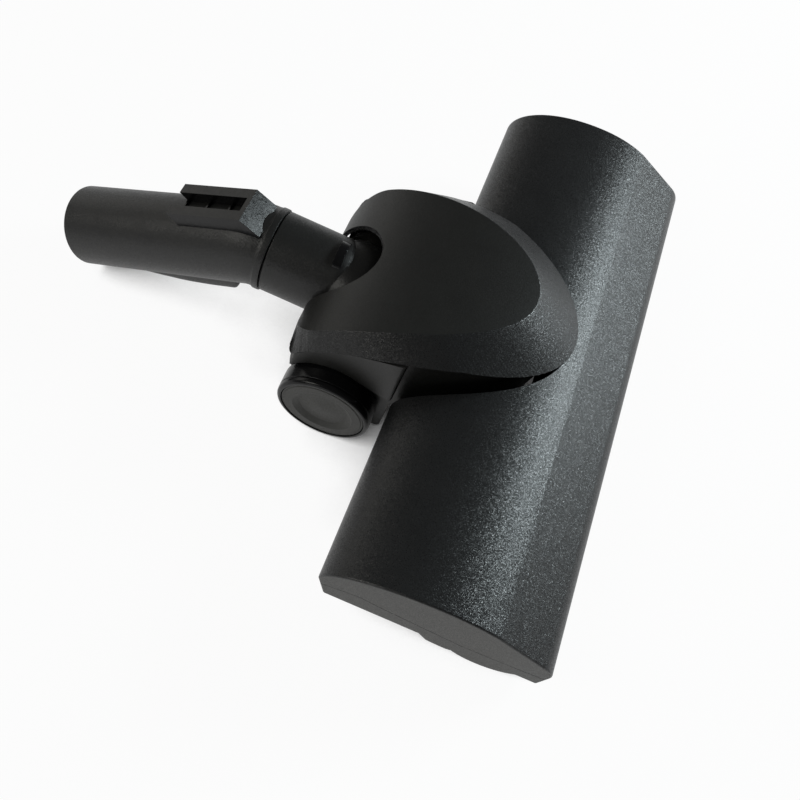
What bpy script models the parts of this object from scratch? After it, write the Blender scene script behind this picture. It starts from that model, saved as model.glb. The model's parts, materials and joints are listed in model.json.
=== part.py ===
"""Vacuum turbo brush: an air-driven brush head with wheels, a tilting elbow and a swivelling tube.

Lengths below are in millimetres and are turned into metres when a mesh is made.
The head frame has X along the head, +Y back towards the tube and +Z up, and z = 0 is level with
the bottoms of the end skids. The whole model is then tilted about X, so that it stands on its end
skids, on its wheels and on the mouth of its tube. The neck turns in the head about the brush roll's axis.
"""
from math import asin, atan2, cos, hypot, pi, radians, sin, sqrt, tan

import bmesh
import bpy
from mathutils import Vector

MM = 0.001
GAP = 0.3

# Head: outer section, along X
HEAD_LENGTH = 270.0
HEAD_REAR = 48.3
HEAD_CREST = 51.7
FLANK_HEIGHT = 26.5
FRONT_ARC_DEPTH = 41.0
CREASE_Y = -22.9
CHAMFER_SLOPE = 27.6
LIP_Y = -52.6
LIP_FILLET = 12.0
SOLE_HEIGHT = 9.5
REAR_DRAFT = 4.6
HEAD_WALL = 2.4
HEAD_EDGE = 0.9

# Parting line between the upper shell and the base, from rear to front
SEAM = ((70.0, 19.0), (47.0, 21.0), (30.0, 25.0), (22.0, 23.0), (-15.0, 18.0), (-30.0, 18.5), (-70.0, 23.0))

# Brush roll and what holds it
ROLL_Y = -27.0
ROLL_HEIGHT = 19.5
CORE_RADIUS = 9.5
BRISTLE_RADIUS = 19.0
BRISTLE_WIDTH = 4.0
BRISTLE_TWIST = 100.0
ROLL_END_CLEARANCE = 1.0
END_WALL = 6.0
BEARING_WIDTH = 5.0
BEARING_RADIUS = 14.0
ROLL_AXLE_RADIUS = 3.5
SKID_RADIUS = 19.5
TUNNEL_CROWN = 2.2

# Belt drive
BELT_X = 33.0
BELT_WIDTH = 7.0
BELT_THICKNESS = 1.5
BELT_PITCH = pi
ROLL_TEETH = 24
TURBINE_TEETH = 12
TOOTH_DEPTH = 1.0
PULLEY_WIDTH = 9.0
FLANGE_WIDTH = 1.0
GUARD_WALL = 2.0
BELT_CLEARANCE = 3.0

# Turbine
TURBINE_Y = 38.0
TURBINE_HEIGHT = 36.0
TURBINE_RADIUS = 19.0
TURBINE_WIDTH = 34.0
TURBINE_BLADES = 13
TURBINE_HUB = 6.5
SHAFT_RADIUS = 2.5
SCROLL_CLEARANCE = 1.6
SCROLL_WALL = 2.0
TURBINE_BEARING_RADIUS = 6.0
TURBINE_BEARING_WIDTH = 3.0

# Neck cover: the smooth top and the sloping rim round it
COVER_TOP = 69.8
COVER_CENTRE_Y = 5.0
COVER_REACH = 97.0
COVER_BASE = 21.5
TOP_HALF_WIDTH = 43.4
TOP_NOSE_Y = 9.0
TOP_REAR_Y = 97.5
TOP_CORNER_LENGTH = 12.4
TOP_CORNER_WIDTH = 13.0
RIM_HALF_WIDTH = 49.4
RIM_NOSE_Y = -17.0
RIM_SHOULDER_Y = 71.7
RIM_REAR_Y = 99.5
RIM_DROP = 9.0
RIM_NOSE_DROP = 16.5
RIM_DROP_START_Y = 28.0
COVER_REAR_SEAM = 27.0
COVER_WALL = 2.2
NOTCH_RADIUS = 21.3
NOTCH_Y = 100.0

# Neck housing below the cover
CUTOUT_NOSE_GAP = 1.5
CUTOUT_SIDE_GAP = 4.6
SKIRT_INSET = 2.5
SKIRT_NOSE_INSET = 8.0
NECK_CLEARANCE = 2.1
NECK_WALL = 2.4
NECK_REAR_Y = 98.0
NECK_CHIN = 17.0
NECK_CHIN_TOP = 24.0
NECK_SIDE_INSET = 0.6
OPEN_ABOVE = 25.0

# Wheels
WHEEL_Y = 75.5
WHEEL_RADIUS = 22.5
WHEEL_WIDTH = 9.3
TYRE_DEPTH = 3.5
DISH_RADIUS = 14.5
DISH_DEPTH = 1.6
WHEEL_WEB = 3.0
WHEEL_HUB_RADIUS = 6.0
AXLE_RADIUS = 3.0
AXLE_HOLD = 8.0

# Elbow and tube
HINGE_Y = 85.0
HINGE_HEIGHT = 24.0
TUBE_RADIUS = 19.5
TUBE_BORE = 17.5
HUB_RADIUS = 19.2
HUB_WALL = 2.0
HUB_HALF_WIDTH = 17.0
TRUNNION_RADIUS = 8.5
CHEEK_WIDTH = 3.0
SWIVEL_Y = 125.8
SPIGOT_LENGTH = 5.2
SPIGOT_WALL = 2.0
RING_START = 1.8
RING_WIDTH = 1.6
RING_DEPTH = 0.9
COLLAR_RISE = 0.6
BEND_START = 9.0
BEND_ANGLE = 27.5
BEND_RADIUS = 20.0
TUBE_LENGTH = 100.0
MOUTH_ROUND = 0.8

TAB_START = 8.5
TAB_LENGTH = 4.0
TAB_HALF_WIDTH = 8.5
TAB_HEIGHT = 2.6

# Latch receiver on top of the tube, placed from the swivel; hump below the tube, placed from the mouth
CLIP_TIP = 43.3
CLIP_LENGTH = 39.5
CLIP_WIDTH = 19.4
CLIP_HEIGHT = 4.8
CLIP_RAIL = 5.6
CLIP_END_WALL = 2.5
CLIP_END_SLANT = 6.5
CLIP_TIP_SLANT = 3.0
CLIP_RIBS = 3
CLIP_RIB_WIDTH = 0.8
CLIP_RIB_HEIGHT = 1.0
HUMP_START = 24.0
HUMP_LENGTH = 60.0
HUMP_HALF_WIDTH = 10.0
HUMP_DEPTH = 5.5

ROUND_STEPS = 36


def arc(centre, radius_a, radius_b, start, end, steps):
    """Points of an elliptic arc, angles in degrees, end points included."""
    points = []
    for step in range(steps + 1):
        angle = radians(start + (end - start) * step / steps)
        points.append((centre[0] + radius_a * cos(angle), centre[1] + radius_b * sin(angle)))
    return points


def fillet(before, corner, after, radius, steps=6):
    """Points of a round of the given radius that replaces a corner of an outline."""
    corner_v = Vector(corner)
    back = (Vector(before) - corner_v).normalized()
    ahead = (Vector(after) - corner_v).normalized()
    half = back.angle(ahead) / 2
    middle = corner_v + (back + ahead).normalized() * radius / sin(half)
    first = corner_v + back * radius / tan(half)
    last = corner_v + ahead * radius / tan(half)
    points = []
    for step in range(steps + 1):
        chord = first.lerp(last, step / steps)
        points.append(tuple(middle + (chord - middle).normalized() * radius))
    return points


def inset_outline(points, distance):
    """A convex outline moved inwards by a distance, whichever way round its points run."""
    count = len(points)
    doubled_area = 0.0
    for index in range(count):
        x0, y0 = points[index]
        x1, y1 = points[(index + 1) % count]
        doubled_area += x0 * y1 - x1 * y0
    side = 1.0 if doubled_area > 0 else -1.0
    moved = []
    for index in range(count):
        here = Vector(points[index])
        before = (here - Vector(points[index - 1])).normalized()
        after = (Vector(points[(index + 1) % count]) - here).normalized()
        normal_before = Vector((-before.y, before.x)) * side
        normal_after = Vector((-after.y, after.x)) * side
        mitre = (normal_before + normal_after).normalized()
        moved.append(tuple(here + mitre * distance / max(mitre.dot(normal_before), 0.3)))
    return moved


def skin(rings, closed=False):
    """A bmesh through equal rings of points, with its ends capped or joined to each other."""
    bm = bmesh.new()
    loops = [[bm.verts.new(Vector(point) * MM) for point in ring] for ring in rings]
    spans = len(loops) if closed else len(loops) - 1
    for index in range(spans):
        near = loops[index]
        far = loops[(index + 1) % len(loops)]
        for spot in range(len(near)):
            other = (spot + 1) % len(near)
            bm.faces.new((near[spot], near[other], far[other], far[spot]))
    if not closed:
        bm.faces.new(loops[0])
        bm.faces.new(loops[-1])
    bmesh.ops.recalc_face_normals(bm, faces=bm.faces)
    if bm.calc_volume(signed=True) < 0:
        bmesh.ops.reverse_faces(bm, faces=bm.faces)
    return bm


def prism_x(outline, start, end):
    """An outline in (y, z) extruded along X."""
    return skin([[(x, y, z) for y, z in outline] for x in (start, end)])


def prism_z(outline, start, end):
    """An outline in (x, y) extruded along Z."""
    return skin([[(x, y, z) for x, y in outline] for z in (start, end)])


def box(low, high):
    """A block between two corners."""
    return prism_x([(low[1], low[2]), (high[1], low[2]), (high[1], high[2]), (low[1], high[2])], low[0], high[0])


def circle_yz(x, y, z, radius, steps=ROUND_STEPS):
    """A ring of points round the X direction."""
    ring = []
    for step in range(steps):
        angle = 2 * pi * step / steps
        ring.append((x, y + radius * cos(angle), z + radius * sin(angle)))
    return ring


def rod(y, z, radius, start, end, steps=ROUND_STEPS):
    """A cylinder along X."""
    return skin([circle_yz(start, y, z, radius, steps), circle_yz(end, y, z, radius, steps)])


def turned(profile, y, z, steps=ROUND_STEPS):
    """A ring-shaped body along X from a closed profile of (x, radius) points."""
    return skin([circle_yz(x, y, z, radius, steps) for x, radius in profile], closed=True)


def tube_ring(centre, direction, radius, steps=ROUND_STEPS):
    """A ring of points round a direction that lies in the YZ plane."""
    across = Vector((1.0, 0.0, 0.0))
    upright = across.cross(direction).normalized()
    ring = []
    for step in range(steps):
        angle = 2 * pi * step / steps
        ring.append(tuple(centre + across * radius * cos(angle) + upright * radius * sin(angle)))
    return ring


def material(name, colour, roughness, metallic=0.0):
    """A plain Principled material."""
    made = bpy.data.materials.new(name)
    made.use_nodes = True
    shader = made.node_tree.nodes["Principled BSDF"]
    shader.inputs["Base Color"].default_value = (*colour, 1.0)
    shader.inputs["Roughness"].default_value = roughness
    shader.inputs["Metallic"].default_value = metallic
    made.diffuse_color = (*colour, 1.0)
    return made


def add_object(name, bm, surface, parent):
    """Turn a bmesh into a named object under a parent."""
    mesh = bpy.data.meshes.new(name)
    bm.to_mesh(mesh)
    bm.free()
    mesh.shade_smooth()
    mesh.set_sharp_from_angle(angle=radians(32))
    if surface:
        mesh.materials.append(surface)
    made = bpy.data.objects.new(name, mesh)
    made.parent = parent
    bpy.context.scene.collection.objects.link(made)
    return made


def boolean(target, operation, bm):
    """Cut, fuse or clip an object with a tool shape, kept as a modifier."""
    tool = add_object(f"{target.name}_tool_{len(target.modifiers)}", bm, None, target.parent)
    tool.hide_render = True
    tool.display_type = "WIRE"
    modifier = target.modifiers.new(operation.lower(), "BOOLEAN")
    modifier.operation = operation
    modifier.object = tool


def cut(target, *tools):
    for tool in tools:
        boolean(target, "DIFFERENCE", tool)


def fuse(target, *tools):
    for tool in tools:
        boolean(target, "UNION", tool)


def soften(target, width, segments=2, limit=50.0):
    """Round an object's sharp edges."""
    modifier = target.modifiers.new("round", "BEVEL")
    modifier.width = width * MM
    modifier.segments = segments
    modifier.limit_method = "ANGLE"
    modifier.angle_limit = radians(limit)


def axis_empty(name, parent, y, z, tilt=0.0):
    """An empty on a joint's axis."""
    empty = bpy.data.objects.new(name, None)
    empty.parent = parent
    empty.location = (0.0, y * MM, z * MM)
    empty.rotation_euler = (tilt, 0.0, 0.0)
    bpy.context.scene.collection.objects.link(empty)
    return empty


def head_section():
    """The head's outer section in (y, z), from the bottom of the rear wall over the top to the lip."""
    rise = HEAD_CREST - FLANK_HEIGHT
    crease_angle = 90.0 + asin(-CREASE_Y / FRONT_ARC_DEPTH) * 180 / pi
    rear = arc((0.0, FLANK_HEIGHT), HEAD_REAR, rise, 0.0, 90.0, 14)
    front = arc((0.0, FLANK_HEIGHT), FRONT_ARC_DEPTH, rise, 90.0, crease_angle, 5)
    crease = front[-1]
    slope = tan(radians(CHAMFER_SLOPE))
    lip_top = (LIP_Y, crease[1] - (crease[0] - LIP_Y) * slope)
    lip = fillet(crease, lip_top, (LIP_Y, SOLE_HEIGHT), LIP_FILLET)
    rear_foot = (HEAD_REAR - REAR_DRAFT, SOLE_HEIGHT)
    return [rear_foot] + rear + front[1:] + lip + [(LIP_Y, SOLE_HEIGHT)]


def beyond_seam(side, gap):
    """A slab above or below the parting line, which keeps half the gap to it."""
    line = [(y, z + side * gap / 2) for y, z in SEAM]
    far = side * 200.0
    return prism_x(line + [(SEAM[-1][0], far), (SEAM[0][0], far)], -HEAD_LENGTH, HEAD_LENGTH)


def ellipse_nose(nose_y, shoulder_y, half_width, rear_y, steps=24):
    """A plan outline: a half ellipse with its nose in front, and straight sides back to rear_y."""
    outline = arc((0.0, shoulder_y), half_width, shoulder_y - nose_y, 180.0, 360.0, steps)
    return outline + [(half_width, rear_y), (-half_width, rear_y)]


def cover_height(y, inset=0.0):
    """The height of the cover's smooth top at a distance back, or of its inner side at an inset."""
    reach = min(abs(y - COVER_CENTRE_Y) / (COVER_REACH - inset), 1.0)
    return COVER_BASE + (COVER_TOP - COVER_BASE - inset) * sqrt(1.0 - reach * reach)


def cover_rear(inset=0.0):
    """How far back the cover's top comes down to the level of its rear edge."""
    share = (COVER_REAR_SEAM - COVER_BASE) / (COVER_TOP - COVER_BASE - inset)
    return COVER_CENTRE_Y + (COVER_REACH - inset) * sqrt(1.0 - share * share)


def rim_height(y):
    """The height of the rim's lower edge at a distance back."""
    forward = min(max((RIM_DROP_START_Y - y) / (RIM_DROP_START_Y - RIM_NOSE_Y), 0.0), 1.0)
    drop = RIM_DROP + (RIM_NOSE_DROP - RIM_DROP) * forward
    return max(cover_height(y) - drop, COVER_REAR_SEAM)


def half_width(y, nose_y, shoulder_y, widest):
    """Half the width at y of a plan outline with a half-elliptic nose."""
    share = min(max((shoulder_y - y) / (shoulder_y - nose_y), 0.0), 1.0)
    return widest * sqrt(1.0 - share * share)


def make_upper_shell(head, surface):
    section = head_section()
    half = HEAD_LENGTH / 2
    shell = add_object("upper_shell", prism_x(section, -half, half), surface, head)
    soften(shell, HEAD_EDGE)
    inner = inset_outline(section, HEAD_WALL)
    inner[0] = (inner[0][0], inner[0][1] - 2 * HEAD_WALL)
    inner[-1] = (inner[-1][0], inner[-1][1] - 2 * HEAD_WALL)
    cut(shell, prism_x(inner, HEAD_WALL - half, half - HEAD_WALL))
    cut(shell, beyond_seam(-1.0, -GAP))
    opening = ellipse_nose(RIM_NOSE_Y + CUTOUT_NOSE_GAP, RIM_SHOULDER_Y,
                           RIM_HALF_WIDTH + CUTOUT_SIDE_GAP, HEAD_REAR + 30.0, 32)
    cut(shell, prism_z(opening, 0.0, HEAD_CREST + 30.0))


def roll_d_shape(radius, top):
    """The lower part of a circle round the brush roll, closed by a level line."""
    reach = asin(max(min((ROLL_HEIGHT - top) / radius, 1.0), -1.0)) * 180 / pi
    return arc((ROLL_Y, ROLL_HEIGHT), radius, radius, 180.0 + reach, 360.0 - reach, 20)


def make_base(head, surface):
    section = head_section()
    half = HEAD_LENGTH / 2
    base = add_object("base_plate", prism_x(section, -half, half), surface, head)
    soften(base, HEAD_EDGE)
    inner = inset_outline(section, HEAD_WALL)
    cut(base, prism_x(inner, HEAD_WALL - half, half - HEAD_WALL))
    cut(base, beyond_seam(1.0, -GAP))
    top = SOLE_HEIGHT + HEAD_WALL + 4.5
    for side in (-1, 1):
        outer_x = side * (half - HEAD_EDGE / 2)
        inner_x = side * (half - END_WALL)
        fuse(base, prism_x(roll_d_shape(SKID_RADIUS, top), min(outer_x, inner_x), max(outer_x, inner_x)))
    guard_half = BELT_WIDTH / 2 + 4.5
    window_top = SOLE_HEIGHT + HEAD_WALL + 1.0
    window_half = sqrt(BRISTLE_RADIUS ** 2 - (ROLL_HEIGHT - window_top) ** 2) + 1.5
    inside = half - END_WALL
    for start, end in ((-inside, BELT_X - guard_half), (BELT_X + guard_half, inside)):
        cut(base, box((start, ROLL_Y - window_half, -5.0), (end, ROLL_Y + window_half, window_top)))
    floor_top = SOLE_HEIGHT + HEAD_WALL
    fuse(base, belt_prism(BELT_CLEARANCE + GUARD_WALL, guard_half))
    cut(base, box((BELT_X - guard_half - 1.0, LIP_Y + 4.0, floor_top),
                  (BELT_X + guard_half + 1.0, HEAD_REAR + 20.0, HEAD_CREST)))
    cut(base, belt_prism(BELT_CLEARANCE, guard_half + 1.0))
    gate = RIM_HALF_WIDTH - 2.0
    cut(base, box((-gate, HEAD_REAR - 12.0, SOLE_HEIGHT + HEAD_WALL), (gate, HEAD_REAR + 20.0, HEAD_CREST)))


def roll_pulley_radius():
    return ROLL_TEETH * BELT_PITCH / (2 * pi)


def turbine_pulley_radius():
    return TURBINE_TEETH * BELT_PITCH / (2 * pi)


def make_tunnel(head, surface):
    """The curved wall between the brush chamber and the rest of the head."""
    inside = BRISTLE_RADIUS + 1.6
    outside = inside + 1.6
    centre = (ROLL_Y, ROLL_HEIGHT)
    low = -asin((ROLL_HEIGHT - SOLE_HEIGHT - HEAD_WALL - GAP) / outside) * 180 / pi
    outline = arc(centre, outside, outside, low, 78.0, 16) + arc(centre, inside, inside, 84.0, low + 1.0, 16)
    half = HEAD_LENGTH / 2 - END_WALL - GAP
    tunnel = add_object("brush_tunnel", prism_x(outline, -half, half), surface, head)
    port_low = SOLE_HEIGHT + HEAD_WALL + 4.0
    cut(tunnel, box((-TURBINE_WIDTH / 2, ROLL_Y + 8.0, port_low), (TURBINE_WIDTH / 2, 10.0, TURBINE_HEIGHT - 6.0)))
    slot = BELT_WIDTH / 2 + 2.5
    slot_top = ROLL_HEIGHT + outside - TUNNEL_CROWN
    cut(tunnel, box((BELT_X - slot, ROLL_Y + 5.0, 5.0), (BELT_X + slot, 10.0, slot_top)))


def make_glides(head, surface):
    """Wear feet beside the end skids."""
    outline = ((3.0, SOLE_HEIGHT - GAP), (-4.0, 1.2), (-6.0, 0.6), (-13.4, 0.0), (-16.0, 1.0), (-16.0, SOLE_HEIGHT - GAP))
    half = HEAD_LENGTH / 2
    for name, side in (("end_glide_left", -1), ("end_glide_right", 1)):
        near = side * (half - 1.0)
        far = side * (half - 9.0)
        glide = add_object(name, prism_x(outline, min(near, far), max(near, far)), surface, head)
        soften(glide, 0.4, 1)
        cut(glide, rod(ROLL_Y, ROLL_HEIGHT, SKID_RADIUS + GAP, -half, half))


def make_roll_bearings(head, surface):
    half = HEAD_LENGTH / 2
    for name, side in (("roll_bearing_left", -1), ("roll_bearing_right", 1)):
        face = half - END_WALL - GAP
        profile = [(face, ROLL_AXLE_RADIUS + GAP), (face, BEARING_RADIUS), (face - 3.0, BEARING_RADIUS),
                   (face - 3.0, ROLL_AXLE_RADIUS + 3.5), (face - BEARING_WIDTH, ROLL_AXLE_RADIUS + 3.0),
                   (face - BEARING_WIDTH, ROLL_AXLE_RADIUS + GAP)]
        add_object(name, turned([(side * x, r) for x, r in profile], ROLL_Y, ROLL_HEIGHT), surface, head)


def toothed_outline(teeth, radius, depth):
    """Points of a pulley with trapezoid teeth, in (y, z) about the origin."""
    points = []
    for tooth in range(teeth):
        for share, reach in ((0.0, radius - depth), (0.22, radius), (0.5, radius), (0.72, radius - depth)):
            angle = 2 * pi * (tooth + share) / teeth
            points.append((reach * cos(angle), reach * sin(angle)))
    return points


def make_brush_roll(roll_axis, core_surface, bristle_surface, pulley_surface, steel):
    """The turning roll, in the frame of its own axis."""
    core_end = HEAD_LENGTH / 2 - END_WALL - BEARING_WIDTH - GAP - ROLL_END_CLEARANCE
    pulley_half = PULLEY_WIDTH / 2 + FLANGE_WIDTH
    bore = ROLL_AXLE_RADIUS + GAP
    waist = CORE_RADIUS - 2.5
    profile = [(-core_end, bore), (-core_end, CORE_RADIUS), (BELT_X - pulley_half - GAP, CORE_RADIUS),
               (BELT_X - pulley_half - GAP, waist), (BELT_X + pulley_half + GAP, waist),
               (BELT_X + pulley_half + GAP, CORE_RADIUS), (core_end, CORE_RADIUS), (core_end, bore)]
    add_object("roll_core", turned(profile, 0.0, 0.0), core_surface, roll_axis)
    pulley_ring = [(x, waist + GAP) for x in (BELT_X - pulley_half, BELT_X + pulley_half)]
    radius = roll_pulley_radius()
    pulley = add_object("roll_pulley", prism_x(toothed_outline(ROLL_TEETH, radius, TOOTH_DEPTH),
                                               BELT_X - PULLEY_WIDTH / 2 - FLANGE_WIDTH / 2,
                                               BELT_X + PULLEY_WIDTH / 2 + FLANGE_WIDTH / 2), pulley_surface, roll_axis)
    cut(pulley, rod(0.0, 0.0, waist + GAP, pulley_ring[0][0] - 1.0, pulley_ring[1][0] + 1.0))
    axle_end = HEAD_LENGTH / 2 - END_WALL - 2 * GAP
    add_object("roll_axle", rod(0.0, 0.0, ROLL_AXLE_RADIUS, -axle_end, axle_end, 24), steel, roll_axis)
    spans = ((-core_end + 1.0, BELT_X - pulley_half - 3.0), (core_end - 1.0, BELT_X + pulley_half + 3.0))
    for row in range(2):
        for end, (outer, inner) in zip(("left", "right"), spans):
            name = f"bristle_row_{end}_{row + 1}"
            add_object(name, helical_strip(outer, inner, row * 180.0), bristle_surface, roll_axis)


def helical_strip(outer, inner, start_angle, steps=22):
    """A row of bristles that winds round the core from an end of the roll towards its pulley."""
    root = CORE_RADIUS + GAP
    rings = []
    for step in range(steps + 1):
        share = step / steps
        x = outer + (inner - outer) * share
        angle = radians(start_angle + BRISTLE_TWIST * share * abs(inner - outer) / 100.0)
        along = Vector((0.0, cos(angle), sin(angle)))
        across = Vector((0.0, -sin(angle), cos(angle))) * BRISTLE_WIDTH / 2
        middle = Vector((x, 0.0, 0.0))
        root_v = along * sqrt(root * root)
        tip_v = along * sqrt(BRISTLE_RADIUS ** 2 - (BRISTLE_WIDTH / 2) ** 2)
        rings.append([tuple(middle + root_v - across), tuple(middle + root_v + across),
                      tuple(middle + tip_v + across), tuple(middle + tip_v - across)])
    return skin(rings)


def turbine_outline():
    """The bladed wheel in (y, z) about the origin: curved blades round a hub."""
    points = []
    pitch = 2 * pi / TURBINE_BLADES
    thickness = 1.3
    steps = 4
    for blade in range(TURBINE_BLADES):
        base = blade * pitch
        for step in range(steps + 1):
            reach = TURBINE_HUB + (TURBINE_RADIUS - TURBINE_HUB) * step / steps
            lean = 0.55 * (step / steps) ** 1.6
            angle = base + lean
            points.append((reach * cos(angle), reach * sin(angle)))
        for step in range(steps, -1, -1):
            reach = TURBINE_HUB + (TURBINE_RADIUS - TURBINE_HUB) * step / steps
            lean = 0.55 * (step / steps) ** 1.6
            angle = base + lean + thickness / reach
            points.append((reach * cos(angle), reach * sin(angle)))
    return points


def make_turbine(turbine_axis, surface, pulley_surface, steel):
    half = TURBINE_WIDTH / 2
    wheel = add_object("turbine_wheel", prism_x(turbine_outline(), -half, half), surface, turbine_axis)
    fuse(wheel, rod(0.0, 0.0, TURBINE_RADIUS, -0.8, 0.8, 52))
    cut(wheel, rod(0.0, 0.0, SHAFT_RADIUS + GAP, -half - 1.0, half + 1.0, 20))
    pulley_half = PULLEY_WIDTH / 2 + FLANGE_WIDTH / 2
    shaft_left = half + SCROLL_CLEARANCE + SCROLL_WALL + TURBINE_BEARING_WIDTH
    add_object("turbine_shaft", rod(0.0, 0.0, SHAFT_RADIUS, -shaft_left, BELT_X + pulley_half + 1.0, 20), steel, turbine_axis)
    pulley = add_object("turbine_pulley", prism_x(toothed_outline(TURBINE_TEETH, turbine_pulley_radius(), TOOTH_DEPTH),
                                                  BELT_X - pulley_half, BELT_X + pulley_half), pulley_surface, turbine_axis)
    cut(pulley, rod(0.0, 0.0, SHAFT_RADIUS + GAP, BELT_X - 10.0, BELT_X + 10.0, 20))


def belt_outline(extra):
    """An open belt's path round both pulleys, in (y, z), at a distance outside the pulleys' teeth."""
    big = roll_pulley_radius() + extra
    small = turbine_pulley_radius() + extra
    run_y = TURBINE_Y - ROLL_Y
    run_z = TURBINE_HEIGHT - ROLL_HEIGHT
    heading = atan2(run_z, run_y) * 180 / pi
    lean = asin((big - small) / hypot(run_y, run_z)) * 180 / pi
    round_big = arc((ROLL_Y, ROLL_HEIGHT), big, big, heading + 90.0 - lean, heading + 270.0 + lean, 26)
    round_small = arc((TURBINE_Y, TURBINE_HEIGHT), small, small, heading - 90.0 + lean, heading + 90.0 - lean, 14)
    return round_big + round_small


def belt_prism(extra, half_width):
    """The space swept by the belt, widened by a distance outside the pulleys' teeth."""
    return prism_x(belt_outline(extra), BELT_X - half_width, BELT_X + half_width)


def make_belt(head, surface):
    rings = []
    for x, extra in ((-1, GAP), (-1, GAP + BELT_THICKNESS), (1, GAP + BELT_THICKNESS), (1, GAP)):
        rings.append([(BELT_X + x * BELT_WIDTH / 2, y, z) for y, z in belt_outline(extra)])
    add_object("drive_belt", skin(rings, closed=True), surface, head)


def make_turbine_bearings(head, surface):
    inner_face = TURBINE_WIDTH / 2 + SCROLL_CLEARANCE
    for name, side in (("turbine_bearing_left", -1), ("turbine_bearing_right", 1)):
        start = inner_face + GAP
        end = start + TURBINE_BEARING_WIDTH
        profile = [(start, SHAFT_RADIUS + GAP), (start, TURBINE_BEARING_RADIUS), (end, TURBINE_BEARING_RADIUS),
                   (end, SHAFT_RADIUS + GAP)]
        add_object(name, turned([(side * x, r) for x, r in profile], TURBINE_Y, TURBINE_HEIGHT, 28), surface, head)


def top_half_width(y, inset=0.0):
    """Half the width of the cover's smooth top, which has an elliptic nose and round rear corners."""
    widest = half_width(y, TOP_NOSE_Y + inset, TOP_REAR_Y, TOP_HALF_WIDTH - inset)
    past = max(y - cover_rear(inset) + TOP_CORNER_LENGTH, 0.0) / TOP_CORNER_LENGTH
    return widest - TOP_CORNER_WIDTH * (1.0 - sqrt(max(1.0 - past * past, 0.0)))


def cover_block(inset, bottom, steps=30):
    """A block under the cover's smooth top and sloping rim, moved inwards by an inset."""
    top_nose = TOP_NOSE_Y + inset
    rim_nose = RIM_NOSE_Y + inset
    rings = []
    for step in range(1, steps + 1):
        share = (1.0 - cos(pi * step / steps)) / 2
        top_y = top_nose + (cover_rear(inset) - top_nose) * share
        rim_y = rim_nose + (RIM_REAR_Y - inset - rim_nose) * share
        top_x = top_half_width(top_y, inset)
        rim_x = half_width(rim_y, rim_nose, RIM_SHOULDER_Y, RIM_HALF_WIDTH - inset)
        top_z = cover_height(top_y, inset)
        rim_z = rim_height(rim_y) - inset
        rings.append([(-rim_x, rim_y, bottom), (-rim_x, rim_y, rim_z), (-top_x, top_y, top_z),
                      (top_x, top_y, top_z), (rim_x, rim_y, rim_z), (rim_x, rim_y, bottom)])
    block = skin(rings)
    bmesh.ops.triangulate(block, faces=block.faces)
    return block


def make_neck_cover(head, surface):
    """The cover is a shell: a block less a smaller one, open below its rim."""
    cover = add_object("neck_cover", cover_block(0.0, COVER_BASE - 5.0), surface, head)
    cut(cover, cover_block(COVER_WALL, COVER_BASE - 10.0))
    cut(cover, rim_slab(-1.0, -GAP))
    cut(cover, prism_z(notch_outline(), COVER_BASE - 15.0, COVER_TOP + 10.0))


def notch_outline():
    """The plan outline of the notch that the elbow swings in."""
    front = arc((0.0, NOTCH_Y), NOTCH_RADIUS, NOTCH_RADIUS, 180.0, 360.0, 28)
    return front + [(NOTCH_RADIUS, NOTCH_Y + 30.0), (-NOTCH_RADIUS, NOTCH_Y + 30.0)]


def rim_slab(side, gap):
    """A slab that holds everything above (side 1) or below (side -1) the rim's lower edge."""
    steps = 30
    start = RIM_NOSE_Y - 3.0
    end = RIM_REAR_Y + 20.0
    line = []
    for step in range(steps + 1):
        y = start + (end - start) * step / steps
        line.append((y, rim_height(y) - gap))
    line += [(end, side * 120.0), (start, side * 120.0)]
    return prism_x(line, -2 * RIM_HALF_WIDTH, 2 * RIM_HALF_WIDTH)


def chin_outline(inset):
    """The neck housing's side outline behind the head, in (y, z)."""
    front = HEAD_REAR + 2 * GAP
    turn_y = NECK_REAR_Y - NECK_CHIN
    depth = NECK_CHIN_TOP - neck_floor(turn_y)
    sky = COVER_TOP + OPEN_ABOVE
    curve = arc((turn_y, NECK_CHIN_TOP), NECK_CHIN - inset, depth - inset, 270.0, 360.0, 12)
    return [(front + inset, neck_floor(front) + inset)] + curve + [(NECK_REAR_Y - inset, sky), (front + inset, sky)]


def floor_height(y):
    """Height of the floor under the resting model at a distance back."""
    tilt = rest_tilt()
    return ROLL_HEIGHT - SKID_RADIUS / cos(tilt) - (y - ROLL_Y) * tan(tilt)


def neck_floor(y):
    """Height of the neck's underside, which is level with the floor."""
    return floor_height(y) + NECK_CLEARANCE


def wheel_height():
    """Height of the wheels' axis, with the wheels on the floor."""
    return floor_height(WHEEL_Y) + WHEEL_RADIUS / cos(rest_tilt())


def neck_half_width():
    """Half the width of the neck housing between the wheels."""
    return RIM_HALF_WIDTH - NECK_SIDE_INSET


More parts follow.
